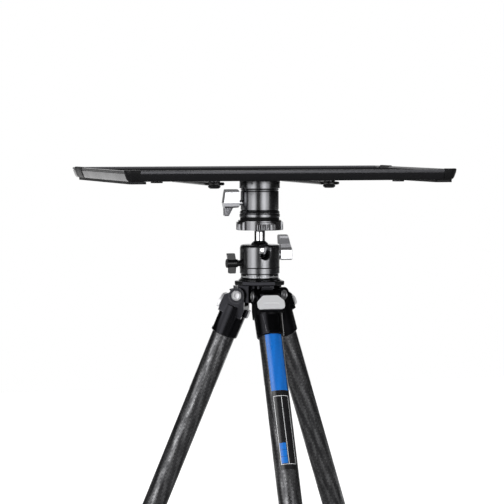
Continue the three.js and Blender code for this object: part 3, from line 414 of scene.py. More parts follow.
cast = {"speckled": 0.5, "smudges": (16.0, 1200.0), "wear": (0.0006, 500.0, 0.55), "roughness": (0.20, 0.30),
        "grain": 1500.0, "relief": (0.00003, 0.6), "metallic": 0.95}
castLooks = {
    "railCoat": {**cast, "colour": (0.034, 0.034, 0.037), "speckle": (0.050, 0.050, 0.054),
                 "worn": (0.26, 0.26, 0.28)},
    "legCastCoat": {**cast, "colour": (0.012, 0.012, 0.014), "speckle": (0.022, 0.022, 0.025),
                    "worn": (0.36, 0.36, 0.38)},
}


def makeBlackCast(name):
    # Satin powder coat on cast alloy, rubbed lighter along its edges
    look = castLooks[name]
    material, w, shader = startMaterial(name, look)
    _, speckle = handle(w, shader, look)
    share = w.math("MULTIPLY", speckle, look["speckled"])
    wearOff(w, shader, look, w.mix(share, look["colour"], look["speckle"]))
    emboss(w, shader, look, w.noise(w.coords(), look["grain"]))
    return material


blackAnodised = {
    "colour": (0.145, 0.146, 0.153),
    "handled": (0.175, 0.176, 0.183),
    "worn": (0.45, 0.45, 0.47),
    "smudges": (22.0, 1500.0),
    "wear": (0.0004, 700.0, 0.5),
    "roughness": (0.20, 0.28),
    "linesPerMetre": 2800.0,
    "relief": (0.000012, 0.8),
    "metallic": 1.0,
}


def makeBlackAnodised():
    # Turned and black anodised: fine rings round the upright axis
    look = blackAnodised
    material, w, shader = startMaterial("blackAnodised", look)
    smudge, _ = handle(w, shader, look)
    wearOff(w, shader, look, w.mix(smudge, look["colour"], look["handled"]))
    emboss(w, shader, look, turnedRings(w, look))
    return material


polished = {
    "colour": (0.78, 0.785, 0.80),
    "lineColour": (0.60, 0.60, 0.62),
    "lined": 0.2,
    "smudges": (60.0, 2000.0),
    "roughness": (0.08, 0.16),
    "linesPerMetre": 4200.0,
    "relief": (0.000004, 0.5),
    "metallic": 1.0,
}


def makePolished():
    # The hard polished ball and stem, with faint rubbed lines
    look = polished
    material, w, shader = startMaterial("polishedSteel", look)
    handle(w, shader, look)
    rings = turnedRings(w, look)
    lines = w.math("MULTIPLY", rings, look["lined"])
    w.feed(shader["Base Color"], w.mix(lines, look["colour"], look["lineColour"]))
    emboss(w, shader, look, rings)
    return material


blasted = {"speckled": 0.35, "smudges": (40.0, 2600.0), "roughness": (0.30, 0.40), "metallic": 1.0,
           "grain": 4200.0, "relief": (0.00001, 0.5)}
speckledLooks = {
    "silverAnodised": {**blasted, "colour": (0.60, 0.605, 0.62), "dark": (0.46, 0.46, 0.48)},
    "blastedTab": {**blasted, "colour": (0.78, 0.785, 0.80), "dark": (0.62, 0.62, 0.64), "metallic": 0.30},
    # Painted shade: a darker copy of the blasted silver, for the levers' grips
    "shadedLeverGrip": {**blasted, "colour": (0.20, 0.20, 0.21), "dark": (0.11, 0.11, 0.12)},
    "pinSteel": {**blasted, "colour": (0.46, 0.46, 0.47), "dark": (0.16, 0.16, 0.17)},
    "turnedSteel": {"colour": (0.42, 0.42, 0.44), "dark": (0.30, 0.30, 0.32), "speckled": 1.0,
                    "smudges": (80.0, 3000.0), "roughness": (0.30, 0.42), "metallic": 1.0},
    "paleInk": {"colour": (0.72, 0.73, 0.74), "dark": (0.45, 0.46, 0.47), "speckled": 0.4,
                "smudges": (60.0, 2400.0), "roughness": (0.45, 0.6)},
}


def makeSpeckled(name):
    # Two shades in a fine speckle: blasted and turned metal, and the paint of the scale and the film's lines
    look = speckledLooks[name]
    material, w, shader = startMaterial(name, look)
    _, speckle = handle(w, shader, look)
    share = w.math("MULTIPLY", speckle, look["speckled"])
    w.feed(shader["Base Color"], w.mix(share, look["colour"], look["dark"]))
    if "grain" in look:
        emboss(w, shader, look, w.noise(w.coords(), look["grain"]))
    return material


carbonTube = {
    "light": (0.265, 0.265, 0.272),
    "dark": (0.030, 0.030, 0.032),
    "towWidth": 0.0034,
    "weaveTurn": 0.62,
    "strand": 0.35,  # how much the strands, the tows and the plain ground add to the shade
    "tow": 0.45,
    "ground": 0.15,
    "fleckScale": 240.0,
    "fleckStretch": 0.22,  # along the tube
    "fleckTurn": 0.22,
    "fleckSpread": (0.36, 0.64),
    "flecked": 0.75,
    "roughness": (0.26, 0.38),
    "relief": (0.00006, 0.5),
    "metallic": 0.9,
}


def weaveOf(w):
    # The tube's coordinates, and the weave on them
    uv = w.add("ShaderNodeUVMap", uv_map="tubeMap").outputs[0]
    look = carbonTube
    return uv, useGroup(w, fibreWeave, Vector=uv, Tow_Width=look["towWidth"], Turn=look["weaveTurn"])


def makeCarbon():
    # Wound fibre under satin resin: a fine twill, with longer lighter and darker stretches
    look = carbonTube
    material, w, shader = startMaterial("carbonTube", look)
    uv, weave = weaveOf(w)
    stretch = w.add("ShaderNodeMapping")
    w.feed(stretch.inputs["Scale"], (1.0, look["fleckStretch"], 1.0))
    w.feed(stretch.inputs["Rotation"], (0, 0, look["fleckTurn"]))
    w.feed(stretch.inputs["Vector"], uv)
    fleck = w.span(w.noise(stretch.outputs[0], look["fleckScale"]), *look["fleckSpread"])
    strand = w.math("MULTIPLY", weave["Strand"], look["strand"])
    tow = w.math("MULTIPLY_ADD", weave["Tow"], look["tow"], strand)
    flecked = w.math("MULTIPLY_ADD", fleck, look["flecked"], 1 - look["flecked"])
    shade = w.math("MULTIPLY", w.math("ADD", tow, look["ground"]), flecked)
    w.feed(shader["Base Color"], w.mix(shade, look["dark"], look["light"]))
    smooth, rough = look["roughness"]
    w.feed(shader["Roughness"], w.span(fleck, 0.0, 1.0, rough, smooth))
    emboss(w, shader, look, weave["Height"])
    return material


moulded = {"colour": (0.005, 0.005, 0.0055), "lighter": 2.2, "smudged": 0.35, "worn": (0.06, 0.06, 0.06),
           "smudges": (20.0, 800.0), "wear": (0.0008, 300.0, 0.25), "relief": (0.00005, 0.35),
           "grain": 2600.0}
darkMoulded = {**moulded, "colour": (0.004, 0.004, 0.0045)}
mouldedLooks = {
    "mouldedRubber": {**moulded, "roughness": (0.38, 0.52), "specular": 0.14, "grain": 1500.0},
    "mouldedNylon": {**moulded, "roughness": (0.24, 0.36), "specular": 0.35},
    "glossyKnob": {**darkMoulded, "roughness": (0.16, 0.24), "specular": 0.26},
    # Painted shade: a near-black, dull copy for the neck under the post and the ring in the housing's groove,
    # dark where shade falls between parts
    "paintedShadeMoulded": {**darkMoulded, "roughness": (0.40, 0.50), "specular": 0.10},
}


def makeMoulded(name):
    # Moulded rubber or nylon with a fine grain
    look = mouldedLooks[name]
    material, w, shader = startMaterial(name, look)
    smudge, _ = handle(w, shader, look)
    lighter = tuple(c * look["lighter"] for c in look["colour"])
    wearOff(w, shader, look, w.mix(w.math("MULTIPLY", smudge, look["smudged"]), look["colour"], lighter))
    shader["Specular IOR Level"].default_value = look["specular"]
    grain = w.add("ShaderNodeTexVoronoi")
    w.feed(grain.inputs["Scale"], look["grain"])
    w.feed(grain.inputs["Vector"], w.coords())
    emboss(w, shader, look, grain.outputs["Distance"])
    return material


matLook = {
    "colour": (0.008, 0.008, 0.009),
    "ridges": (0.024, 0.024, 0.026),
    "smudgeColour": (0.03, 0.03, 0.032),
    "smudged": 0.25,
    "pitch": 0.0032,
    "turn": 45.0,
    "ridge": (-0.4, 0.6),
    "smudges": (9.0, 1400.0),
    "roughness": (0.60, 0.80),
    "specular": 0.0,
    "relief": (0.0003, 0.8),
}


def makeMat():
    # The tray's thin non-slip sheet: small raised diamonds, dull all over
    look = matLook
    material, w, shader = startMaterial("nonSlipMat", look)
    turned = w.turn(w.coords(), math.radians(look["turn"]))
    turns = 2 * math.pi / look["pitch"]
    waves = [w.math("SINE", w.math("MULTIPLY", w.axis(turned, side), turns)) for side in "XY"]
    diamonds = w.span(w.math("MULTIPLY", *waves), *look["ridge"])
    smudge, _ = handle(w, shader, look, "Speckle")
    base = w.mix(diamonds, look["colour"], look["ridges"])
    share = w.math("MULTIPLY", smudge, look["smudged"])
    w.feed(shader["Base Color"], w.mix(share, base, look["smudgeColour"]))
    shader["Specular IOR Level"].default_value = look["specular"]
    emboss(w, shader, look, diamonds)
    return material


anyFilm = {"woven": 0.35, "darker": 0.72, "smudges": (30.0, 900.0), "relief": (0.00003, 0.3)}
filmLooks = {
    "blueFilm": {**anyFilm, "colour": (0.001, 0.130, 0.500), "roughness": (0.24, 0.36)},
    "blackFilm": {**anyFilm, "colour": (0.008, 0.008, 0.009), "roughness": (0.20, 0.32)},
}


def makeFilm(name):
    # Printed film round a tube, with the weave just showing through
    look = filmLooks[name]
    material, w, shader = startMaterial(name, look)
    _, weave = weaveOf(w)
    darker = tuple(c * look["darker"] for c in look["colour"])
    share = w.math("MULTIPLY", weave["Tow"], look["woven"])
    w.feed(shader["Base Color"], w.mix(share, look["colour"], darker))
    handle(w, shader, look)
    emboss(w, shader, look, weave["Height"])
    return material


finishes = {
    "cast_alloy": makeBlackCast("railCoat"),
    "black_anodised": makeBlackAnodised(),
    "silver_anodised": makeSpeckled("silverAnodised"),
    "polished_ball": makePolished(),
    "steel_screw": makeSpeckled("turnedSteel"),
    "carbon_tube": makeCarbon(),
    "black_rubber": makeMoulded("mouldedRubber"),
    "black_nylon": makeMoulded("mouldedNylon"),
    "tray_mat": makeMat(),
}
legCast = makeBlackCast("legCastCoat")
# The neck under the post is painted near-black and dull: painted shade in the gap between the post's foot and
# the release ring
paintedShadeBlack = makeMoulded("paintedShadeMoulded")
ownFinishes = {"leg_fitting": legCast, "spider": legCast, "pan_lock_knob": makeMoulded("glossyKnob"),
               "stem_base": paintedShadeBlack, "angle_tab": makeSpeckled("blastedTab")}
# The darker copy of the lever silver, painted shade on the grips
shadedLeverGrip = makeSpeckled("shadedLeverGrip")
pinSteel = makeSpeckled("pinSteel")
blueFilm = makeFilm("blueFilm")
blackFilm = makeFilm("blackFilm")
paleInk = makeSpeckled("paleInk")
print("finishes made")

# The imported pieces: each gets its finish, softened edges and smooth round faces

softening = {"width": 0.35, "angle": 32, "segments": 2, "weld": 0.005, "flatAngle": 0.6}
edgeWidths = {"tray_rail": 0.25, "tray_bumper": 0.5, "hinge_pin": 0.2, "release_ring": 0.2, "tray_mat": 0.2}


def buildRoundFaces():
    # Shades faces smooth wherever they meet at less than the given angle
    group = bpy.data.node_groups.new("roundFaces", "GeometryNodeTree")
    for side in ("INPUT", "OUTPUT"):
        group.interface.new_socket(name="Geometry", in_out=side, socket_type="NodeSocketGeometry")
    w = Wiring(group)
    given = w.add("NodeGroupInput").outputs
    put = w.add("NodeGroupOutput").inputs
    faces = w.add("GeometryNodeSetShadeSmooth", domain="FACE")
    edges = w.add("GeometryNodeSetShadeSmooth", domain="EDGE")
    angle = w.add("GeometryNodeInputMeshEdgeAngle")
    below = w.add("FunctionNodeCompare", data_type="FLOAT", operation="LESS_THAN")
    w.feedAll(below.inputs, angle.outputs["Unsigned Angle"], math.radians(softening["angle"]))
    w.feed(faces.inputs["Geometry"], given["Geometry"])
    w.feed(edges.inputs["Geometry"], faces.outputs[0])
    w.feed(edges.inputs["Shade Smooth"], below.outputs[0])
    w.feed(put["Geometry"], edges.outputs[0])
    return group


roundFaces = buildRoundFaces()


def addModifier(piece, name, kind, **settings):
    modifier = piece.modifiers.new(name, kind)
    for label, value in settings.items():
        setattr(modifier, label, value)


def soften(piece, width):
    # Modifiers only, so the piece keeps its own mesh
    soft = softening
    addModifier(piece, "weld", "WELD", merge_threshold=soft["weld"] * mm)
    addModifier(piece, "flatFaces", "DECIMATE", decimate_type="DISSOLVE",
                angle_limit=math.radians(soft["flatAngle"]))
    addModifier(piece, "edges", "BEVEL", width=width * mm, segments=soft["segments"], limit_method="ANGLE",
                angle_limit=math.radians(soft["angle"]), use_clamp_overlap=True)
    addModifier(piece, "roundFaces", "NODES", node_group=roundFaces)
    addModifier(piece, "normals", "WEIGHTED_NORMAL", keep_sharp=True)


def matching(table, name, other):
    # The value in the table whose key is part of the name
    return next((value for key, value in table.items() if key in name), other)


slotOf = {row["node"]: row["material_slot"] for row in frame["record"]["subparts"]}
for name, node in nodes.items():
    node.data.materials.clear()
    node.data.materials.append(matching(ownFinishes, name, finishes[slotOf[name]]))
    soften(node, matching(edgeWidths, name, softening["width"]))
print("packed pieces dressed")

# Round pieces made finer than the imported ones

lathe = {
    "cornerSteps": 3,
    "cornerShare": 0.45,  # of its shorter side, that a corner may take
    "straight": 12.0,  # a corner that turns less than this stays
    "sharp": 38.0,
    "merge": 1e-7,
    "onAxis": 1e-6,
}


def softCorners(profile, radius, loop):
    # Swaps each clear corner of a profile for a short curve
    points = [Vector(p) for p in profile]
    count = len(points)
    soft = []
    for i, here in enumerate(points):
        before, after = points[i - 1], points[(i + 1) % count]
        back, on = before - here, after - here
        ends = not loop and i in (0, count - 1)
        if (ends or back.length == 0 or on.length == 0
                or abs(math.pi - back.angle(on)) < math.radians(lathe["straight"])):
            soft.append(here)
            continue
        cut = min(radius, back.length * lathe["cornerShare"], on.length * lathe["cornerShare"])
        start, end = here + back.normalized() * cut, here + on.normalized() * cut
        for k in range(lathe["cornerSteps"] + 1):
            t = k / lathe["cornerSteps"]
            soft.append((1 - t) ** 2 * start + 2 * t * (1 - t) * here + t ** 2 * end)
    return soft


def finishMesh(name, build, material, sharp=lathe["sharp"]):
    # Turns a bmesh into an object, smooth but for its sharp edges
    bmesh.ops.remove_doubles(build, verts=build.verts, dist=lathe["merge"])
    bmesh.ops.recalc_face_normals(build, faces=build.faces)
    for face in build.faces:
        face.smooth = True
    for edge in build.edges:
        if len(edge.link_faces) == 2 and edge.calc_face_angle(0) > math.radians(sharp):
            edge.smooth = False
    mesh = bpy.data.meshes.new(name)
    build.to_mesh(mesh)
    build.free()
    mesh.materials.append(material)
    piece = bpy.data.objects.new(name, mesh)
    bpy.context.scene.collection.objects.link(piece)
    return piece


def addFace(build, uvLayer, corners, uvs):
    face = build.faces.new(corners)
    for corner, uv in zip(face.loops, uvs):
        corner[uvLayer].uv = uv


def spin(name, profile, place, material, shape, ripple=None):
    # Turns a profile of radius and height in mm about the axis of place. It closes up unless it starts on it
    sides = shape["sides"]
    loop = profile[0][0] > 0
    points = softCorners(profile, shape["corner"], loop)
    build = bmesh.new()
    uvLayer = build.loops.layers.uv.new("tubeMap")
    rings, lengths, length = [], [], 0.0
    for k, point in enumerate(points):
        if k:
            length += (point - points[k - 1]).length
        lengths.append(length * mm)
        radius, height = max(point.x, 0.0), point.y
        if radius < lathe["onAxis"]:
            rings.append([build.verts.new(place @ Vector((0, 0, height * mm)))])
            continue
        ring = []
        for s in range(sides):
            angle = 2 * math.pi * s / sides
            r = (radius if ripple is None else ripple(angle, radius, height)) * mm
            spot = Vector((r * math.cos(angle), r * math.sin(angle), height * mm))
            ring.append(build.verts.new(place @ spot))
        rings.append(ring)
    count = len(rings)
    widest = max(p.x for p in points) * mm
    for k in range(count if loop else count - 1):
        low, high = rings[k], rings[(k + 1) % count]
        if len(low) == 1 and len(high) == 1:
            continue
        v0, v1 = lengths[k], lengths[k + 1] if k + 1 < count else lengths[k] + mm
        for s in range(sides):
            n = (s + 1) % sides
            u0, u1 = 2 * math.pi * widest * s / sides, 2 * math.pi * widest * (s + 1) / sides
            if len(low) == 1:
                corners, uvs = (low[0], high[n], high[s]), ((u0, v0), (u1, v1), (u0, v1))
            elif len(high) == 1:
                corners, uvs = (low[s], low[n], high[0]), ((u0, v0), (u1, v0), (u0, v1))
            else:
                corners, uvs = (low[s], low[n], high[n], high[s]), ((u0, v0), (u1, v0), (u1, v1), (u0, v1))
            addFace(build, uvLayer, corners, uvs)
    return finishMesh(name, build, material)


def standFor(piece, body, slot, *replaced):
    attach(piece, body)
    if replaced:
        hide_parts(*replaced)


def upright(x, y, z):
    return Matrix.Translation((x, y, z))


def onStem(height):
    return upright(stem.x, stem.y, height)


def offCentre(angle, count):
    # Degrees from the nearest of that many places spread evenly round a circle
    spacing = 360 / count
    return (math.degrees(angle) + spacing / 2) % spacing - spacing / 2


# Tripod legs

legs = {"front": -90.0, "right": 30.0, "left": 150.0}
lastSection = 3
legShape = {
    "lean": 22.5,
    "tubeRadius": 14.0, "tubeStep": 1.5, "wall": 1.2, "tubeLength": 370.0,
    "clearance": 0.3, "turnClearance": 0.45,
    "firstStart": 20.3, "firstEnd": 391.2, "pitch": 39.5, "reach": 290.5,
    "corner": 0.2, "sides": 64,
}
collarShape = {
    "wall": 3.4, "above": 26.0, "below": 12.0, "nose": 4.0, "noseLip": 1.2,
    # Points in from the outside and up from the nose
    "shoulder": ((1.2, 0.0), (0.3, 0.8), (0.3, 3.2), (0.9, 3.5), (0.9, 4.1), (0.0, 4.4)),
    "closer": 0.1,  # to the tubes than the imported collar
    "topEdge": (1.0, 2.2),
    "flutes": 20, "fluteDepth": 0.75, "fluteSharpness": 0.7, "runOut": 5, "gripSteps": 10,
    "sameRadius": 0.05, "corner": 0.3, "sides": 160,
}
footShape = {
    "radius": 12.5, "centreDrop": 12.5,
    "domeRise": 7.5,  # how far over its centre the round part goes
    "neck": 11.6, "neckDrop": 2.0,
    "groove": (0.9, 1.6, 0.6),  # depth, and from where to where below the neck
    "lip": (1.0, 0.35), "plug": 14.0, "plugPlay": 0.2,
    "steps": 18, "corner": 0.2, "sides": 80,
}


def legPlace(leg):
    # The leg's own frame: zero at the hinge, +X out, the leg running down -Z
    hinge = boxMiddle(f"{leg}_hinge_pin")
    heading = Matrix.Rotation(math.radians(legs[leg]), 4, "Z")
    lean = Matrix.Rotation(-math.radians(legShape["lean"]), 4, "Y")
    return Matrix.Translation(hinge) @ heading @ lean


def tubeOuter(n):
    return legShape["tubeRadius"] - legShape["tubeStep"] * n


def sectionEnd(n):
    # How far the lower end of tube n lies from the hinge, with section 1 drawn out
    return legShape["firstEnd"] + legShape["pitch"] * n + (legShape["reach"] if n else 0.0)


def addTube(leg, n, body):
    shape = legShape
    outer = tubeOuter(n)
    inner = outer - shape["wall"]
    low = -sectionEnd(n)
    high = -shape["firstStart"] if n == 0 else low + shape["tubeLength"]
    profile = [(inner, low), (outer, low), (outer, high), (inner, high)]
    tube = spin(f"{leg}TubeSection{n + 1}", profile, legPlace(leg), finishes["carbon_tube"], shape)
    standFor(tube, body, "carbon_tube", f"{leg}_tube_{n + 1}")


def addCollar(leg, n, body):
    shape = collarShape
    hug = legShape["turnClearance"] - shape["closer"]
    inner, grip = tubeOuter(n) + hug, tubeOuter(n + 1) + hug
    outer = tubeOuter(n) + shape["wall"]
    low, high = -shape["below"], shape["above"]
    noseTop = low + shape["nose"]
    profile = [(grip, low), (grip + shape["noseLip"], low)]
    profile += [(outer - inward, noseTop + up) for inward, up in shape["shoulder"]]
    topInset, topDrop = shape["topEdge"]
    gripLow, gripHigh = profile[-1][1], high - topDrop
    steps = shape["gripSteps"]
    profile += [(outer, gripLow + (gripHigh - gripLow) * k / steps) for k in range(1, steps + 1)]
    ledge = -legShape["clearance"]
    profile += [(outer - topInset, high), (inner, high), (inner, ledge), (grip, ledge)]

    def fluted(angle, radius, height):
        # Shallow flutes that run out before both ends of the grip
        if radius < outer - shape["sameRadius"] or not gripLow <= height <= gripHigh:
            return radius
        share = (height - gripLow) / (gripHigh - gripLow)
        runOut = min(1.0, shape["runOut"] * share, shape["runOut"] * (1 - share))
        wave = max(0.0, math.cos(shape["flutes"] * angle)) ** shape["fluteSharpness"]
        return radius - shape["fluteDepth"] * wave * runOut

    place = legPlace(leg) @ upright(0, 0, -sectionEnd(n) * mm)
    collar = spin(f"{leg}TwistGrip{n + 1}", profile, place, finishes["black_rubber"], shape, fluted)
    standFor(collar, body, "black_rubber", f"{leg}_twist_collar_{n + 1}")


def roundProfile(centre, radius, topAngle, steps):
    # An arc round a centre on the axis, from straight below it up to the given angle over level
    profile = []
    for k in range(steps + 1):
        angle = -math.pi / 2 + (topAngle + math.pi / 2) * k / steps
        profile.append((radius * math.cos(angle) if k else 0.0, centre + radius * math.sin(angle)))
    return profile


def addFoot(leg, body):
    shape = footShape
    bore = tubeOuter(lastSection) - legShape["wall"] - shape["plugPlay"]
    topAngle = math.asin(shape["domeRise"] / shape["radius"])
    profile = roundProfile(-shape["centreDrop"], shape["radius"], topAngle, shape["steps"])
    depth, grooveLow, grooveHigh = shape["groove"]
    lipInset, lipDrop = shape["lip"]
    neck, neckLow = shape["neck"], -shape["neckDrop"]
    profile += [(neck - depth, neckLow - grooveLow), (neck - depth, neckLow - grooveHigh), (neck, neckLow),
                (neck - lipInset, -lipDrop), (bore, -lipDrop), (bore, shape["plug"]), (0.0, shape["plug"])]
    place = legPlace(leg) @ upright(0, 0, -sectionEnd(lastSection) * mm)
    foot = spin(f"{leg}RubberFoot", profile, place, finishes["black_rubber"], shape)
    for vertex in foot.data.vertices:
        vertex.co.z = max(vertex.co.z, 0.0)  # flat where it stands
    standFor(foot, body, "black_rubber", f"{leg}_foot")


for leg in legs:
    sectionBodies = [f"{leg}_leg"] + [f"{leg}_section_{n + 1}" for n in range(1, lastSection + 1)]
    for n, body in enumerate(sectionBodies):
        addTube(leg, n, body)
    for n in range(lastSection):
        addCollar(leg, n, f"{leg}_collar_{n + 1}")
    addFoot(leg, sectionBodies[lastSection])
print("leg tubes, twist grips and feet made")

# The film round the front leg: a bare blue strip, then a dark one with thin pale lines

film = {
    "leg": "front",
    "strip": (-45.5, 44.0),  # degrees either side of straight out
    "gap": 0.02, "thickness": 0.12, "printThickness": 0.048,
    "blue": (51.0, 120.4), "dark": (120.8, 216.0),  # from where to where down the tube
    "frame": (127.0, 209.4), "line": 0.55,
    "columnAngles": (-40.0, -2.0, 36.0),
    "squares": {"count": 3, "start": 184.0, "pitch": 8.3, "tall": 7.9, "across": (-37.0, -5.5)},
    "stepAngle": 3.0, "fewestSteps": 2,
}


def addPatch(name, low, high, fromAngle, toAngle, printed, material):
    # A thin curved sheet round the tube, between two lengths down it and two angles from straight out
    place = legPlace(film["leg"])
    build = bmesh.new()
    uvLayer = build.loops.layers.uv.new("tubeMap")
    base = legShape["tubeRadius"] + film["gap"]
    radius, thickness = base, film["thickness"]
    if printed:
        radius, thickness = base + film["thickness"], film["printThickness"]
    steps = max(film["fewestSteps"], int(abs(toAngle - fromAngle) / film["stepAngle"]))
    angles = [math.radians(fromAngle + (toAngle - fromAngle) * k / steps) for k in range(steps + 1)]

    def row(r, z):
        return [build.verts.new(place @ (Vector((r * math.cos(a), r * math.sin(a), z)) * mm)) for a in angles]

    innerTop, innerLow = row(radius, -low), row(radius, -high)
    outerTop, outerLow = row(radius + thickness, -low), row(radius + thickness, -high)
    for k in range(steps):
        n = k + 1
        u0, u1 = (a * radius * mm for a in angles[k:k + 2])
        uvs = ((u0, low * mm), (u0, high * mm), (u1, high * mm), (u1, low * mm))
        for corners in ((outerTop[k], outerLow[k], outerLow[n], outerTop[n]),
                        (innerTop[k], innerTop[n], innerLow[n], innerLow[k]),
                        (outerTop[k], outerTop[n], innerTop[n], innerTop[k]),
                        (outerLow[k], innerLow[k], innerLow[n], outerLow[n])):
            addFace(build, uvLayer, corners, uvs)
    for k in (0, steps):
        corners = (outerTop[k], innerTop[k], innerLow[k], outerLow[k])
        addFace(build, uvLayer, corners, ((0, 0), (0, mm), (mm, mm), (mm, 0)))
    standFor(finishMesh(name, build, material), f"{film['leg']}_leg", "carbon_tube")


def addFilm():
    addPatch("blueStripFilm", *film["blue"], *film["strip"], False, blueFilm)
    addPatch("darkStripFilm", *film["dark"], *film["strip"], False, blackFilm)
    top, low = film["frame"]
    line = film["line"]
    lineAngle = math.degrees(line / (legShape["tubeRadius"] + film["gap"]))
    left, _, right = film["columnAngles"]
    addPatch("frameTopFilm", top, top + line, left, right, True, paleInk)
    addPatch("frameLowFilm", low, low + line, left, right, True, paleInk)
    for k, angle in enumerate(film["columnAngles"]):
        addPatch(f"frameLine{k}Film", top + line, low, angle, angle + lineAngle, True, paleInk)
    square = film["squares"]
    for k in range(square["count"]):
        start = square["start"] + square["pitch"] * k
        addPatch(f"blueSquare{k}Film", start, start + square["tall"], *square["across"], True, blueFilm)


addFilm()
print("film on the front leg made")

# Hinge pins, painted shade in the housing's groove, release ring and levers

pinShape = {
    "radius": 4.0, "headRadius": 6.3, "headHeight": 2.0, "socket": 3.0, "socketDepth": 2.0, "hexSides": 6,
    "hexWithin": 0.2, "ringAt": 4.7, "ringDepth": 0.45, "edge": 0.6, "corner": 0.1, "sides": 72,
}


def addHingePin(leg):
    # A pin with a round head at both ends, each with a hex socket and a turned ring
    low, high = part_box("front_hinge_pin")
    s = pinShape
    top = (high.x - low.x) / 2 / mm
    neck, ring, cut = top - s["headHeight"], s["ringAt"], s["ringDepth"]
    half = [(0.0, top - s["socketDepth"]), (s["socket"], top - s["socketDepth"]), (s["socket"], top),
            (ring - cut, top), (ring, top - cut), (ring + cut, top), (s["headRadius"] - s["edge"], top),
            (s["headRadius"], top - s["edge"]), (s["headRadius"], neck), (s["radius"], neck)]

    def hexed(angle, radius, height):
        if radius > s["socket"] + s["hexWithin"]:
            return radius
        return radius / math.cos(math.radians(offCentre(angle, s["hexSides"])))

    heading = Matrix.Rotation(math.radians(legs[leg]), 4, "Z") @ Matrix.Rotation(math.pi / 2, 4, "X")
    place = Matrix.Translation(boxMiddle(f"{leg}_hinge_pin")) @ heading
    profile = half + [(radius, -height) for radius, height in reversed(half)]
    pin = spin(f"{leg}HingePin", profile, place, pinSteel, s, hexed)
    standFor(pin, "tripod_hub", "silver_anodised", f"{leg}_hinge_pin")


# The painted shade in the housing's groove: a thin black ring
grooveShade = {"inner": 23.45, "outer": 24.02, "low": 6.5, "high": 7.8, "corner": 0.1, "sides": 128}


def addGrooveShade():
    # Painted shade: a black ring set in the groove round the foot of the housing, standing in for the shade
    # there
    s = grooveShade
    inner, outer, low, high = s["inner"], s["outer"], s["low"], s["high"]
    profile = [(inner, low), (outer, low), (outer, high), (inner, high)]
    line = spin("housingGrooveShade", profile, onStem(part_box("ball_housing")[0].z), paintedShadeBlack, s)
    standFor(line, "housing", "black_anodised")


ringShape = {
    "radius": 26.2, "bore": 24.45, "lobeRadius": 28.2, "lobeHeight": 9.8, "lobes": 4, "lobeHalf": 29.0,
    "ramp": 2.0, "flutes": 5, "flutePitch": 11.4, "fluteHalf": 5.2, "fluteDepth": 2.2, "fluteHeight": 7.0,
    "fluteEnd": 0.5, "fluteSharpness": 1.5, "lowEdge": (0.5, 0.4), "lobeEdge": 0.4, "topEdge": (0.5, 0.6),
    "bandStep": 0.01, "corner": 0.1, "sides": 360,
}


def addReleaseRing():
    low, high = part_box("release_ring")
    s = ringShape
    top = (high.z - low.z) / mm
    lobeTop, fluteTop, fluteEnd = s["lobeHeight"], s["fluteHeight"], s["fluteEnd"]
    wide, band, lobeEdge = s["lobeRadius"], s["radius"], s["lobeEdge"]
    lowInset, lowRise = s["lowEdge"]
    topInset, topDrop = s["topEdge"]
    profile = [(s["bore"], 0.0), (wide - lowInset, 0.0), (wide, lowRise), (wide, fluteTop),
               (wide, fluteTop + fluteEnd), (wide, lobeTop - lobeEdge), (wide - lobeEdge, lobeTop),
               (band, lobeTop + s["bandStep"]), (band, top - topDrop), (band - topInset, top),
               (s["bore"], top)]

    def lobed(angle, radius, height):
        # Four raised lobes, each cut by short V flutes
        if radius <= band + s["bandStep"]:
            return radius
        across = abs(offCentre(angle, s["lobes"]))
        rise = min(1.0, max(0.0, (s["lobeHalf"] - across) / s["ramp"]))
        nearest = min(abs(across - s["flutePitch"] * k) for k in range(s["flutes"] // 2 + 1))
        runOut = min(1.0, max(0.0, 1 - (height - fluteTop) / fluteEnd))
        share = math.cos(min(1.0, nearest / s["fluteHalf"]) * math.pi / 2) ** s["fluteSharpness"]
        return band + (radius - band) * rise - s["fluteDepth"] * share * runOut * rise

    ring = spin("quickReleaseRing", profile, onStem(low.z), finishes["black_anodised"], s, lobed)
    standFor(ring, "ring", "black_anodised", "release_ring")


levers = {
    # Rows up each lever: height over its shaft, from and to across, half the thickness, depth of its ribs
    "ballLockPaddle": {
        "node": "ball_lock_lever", "body": "ball_lever", "reach": 1, "shaft": (4.0, 16.5, 26.5),
        "grip": (8.0, 20.0),
        "rows": [
            (-6.6, 25.6, 38.9, 4.6, 0), (-5.2, 24.9, 39.6, 5.5, 0), (5.4, 24.9, 39.6, 5.5, 0),
            (8.4, 24.9, 38.9, 4.3, 0), (12.2, 24.9, 37.7, 3.6, 0), (12.6, 23.5, 37.6, 3.6, 0),
            (19.6, 23.5, 35.4, 4.75, 0), (22.6, 23.5, 34.4, 4.75, 0), (23.9, 24.2, 33.5, 4.25, 0),
        ],
    },
    "postClampPaddle": {
        "node": "post_clamp_lever", "body": "clamp_lever", "reach": -1, "shaft": (3.2, 16.6, 29.2),
        "grip": (-15.8, -4.0),
        "rows": [
            (-15.8, 39.6, 44.2, 2.4, 0.5), (-14.9, 38.9, 44.7, 2.8, 0.6), (-6.0, 34.4, 44.7, 3.7, 0.6),
            (-5.6, 28.2, 44.9, 4.2, 0), (-4.2, 26.6, 45.1, 5.0, 0), (0.0, 26.6, 46.0, 5.0, 0),
            (12.6, 26.6, 44.1, 5.0, 0), (15.0, 27.4, 43.7, 4.5, 0), (16.1, 29.0, 43.3, 4.0, 0),
        ],
    },
}
leverMaking = {"steps": 10, "shaftSides": 40, "edge": 0.4, "edgeSegments": 2, "edgeAngle": 40.0, "sharp": 8.0}


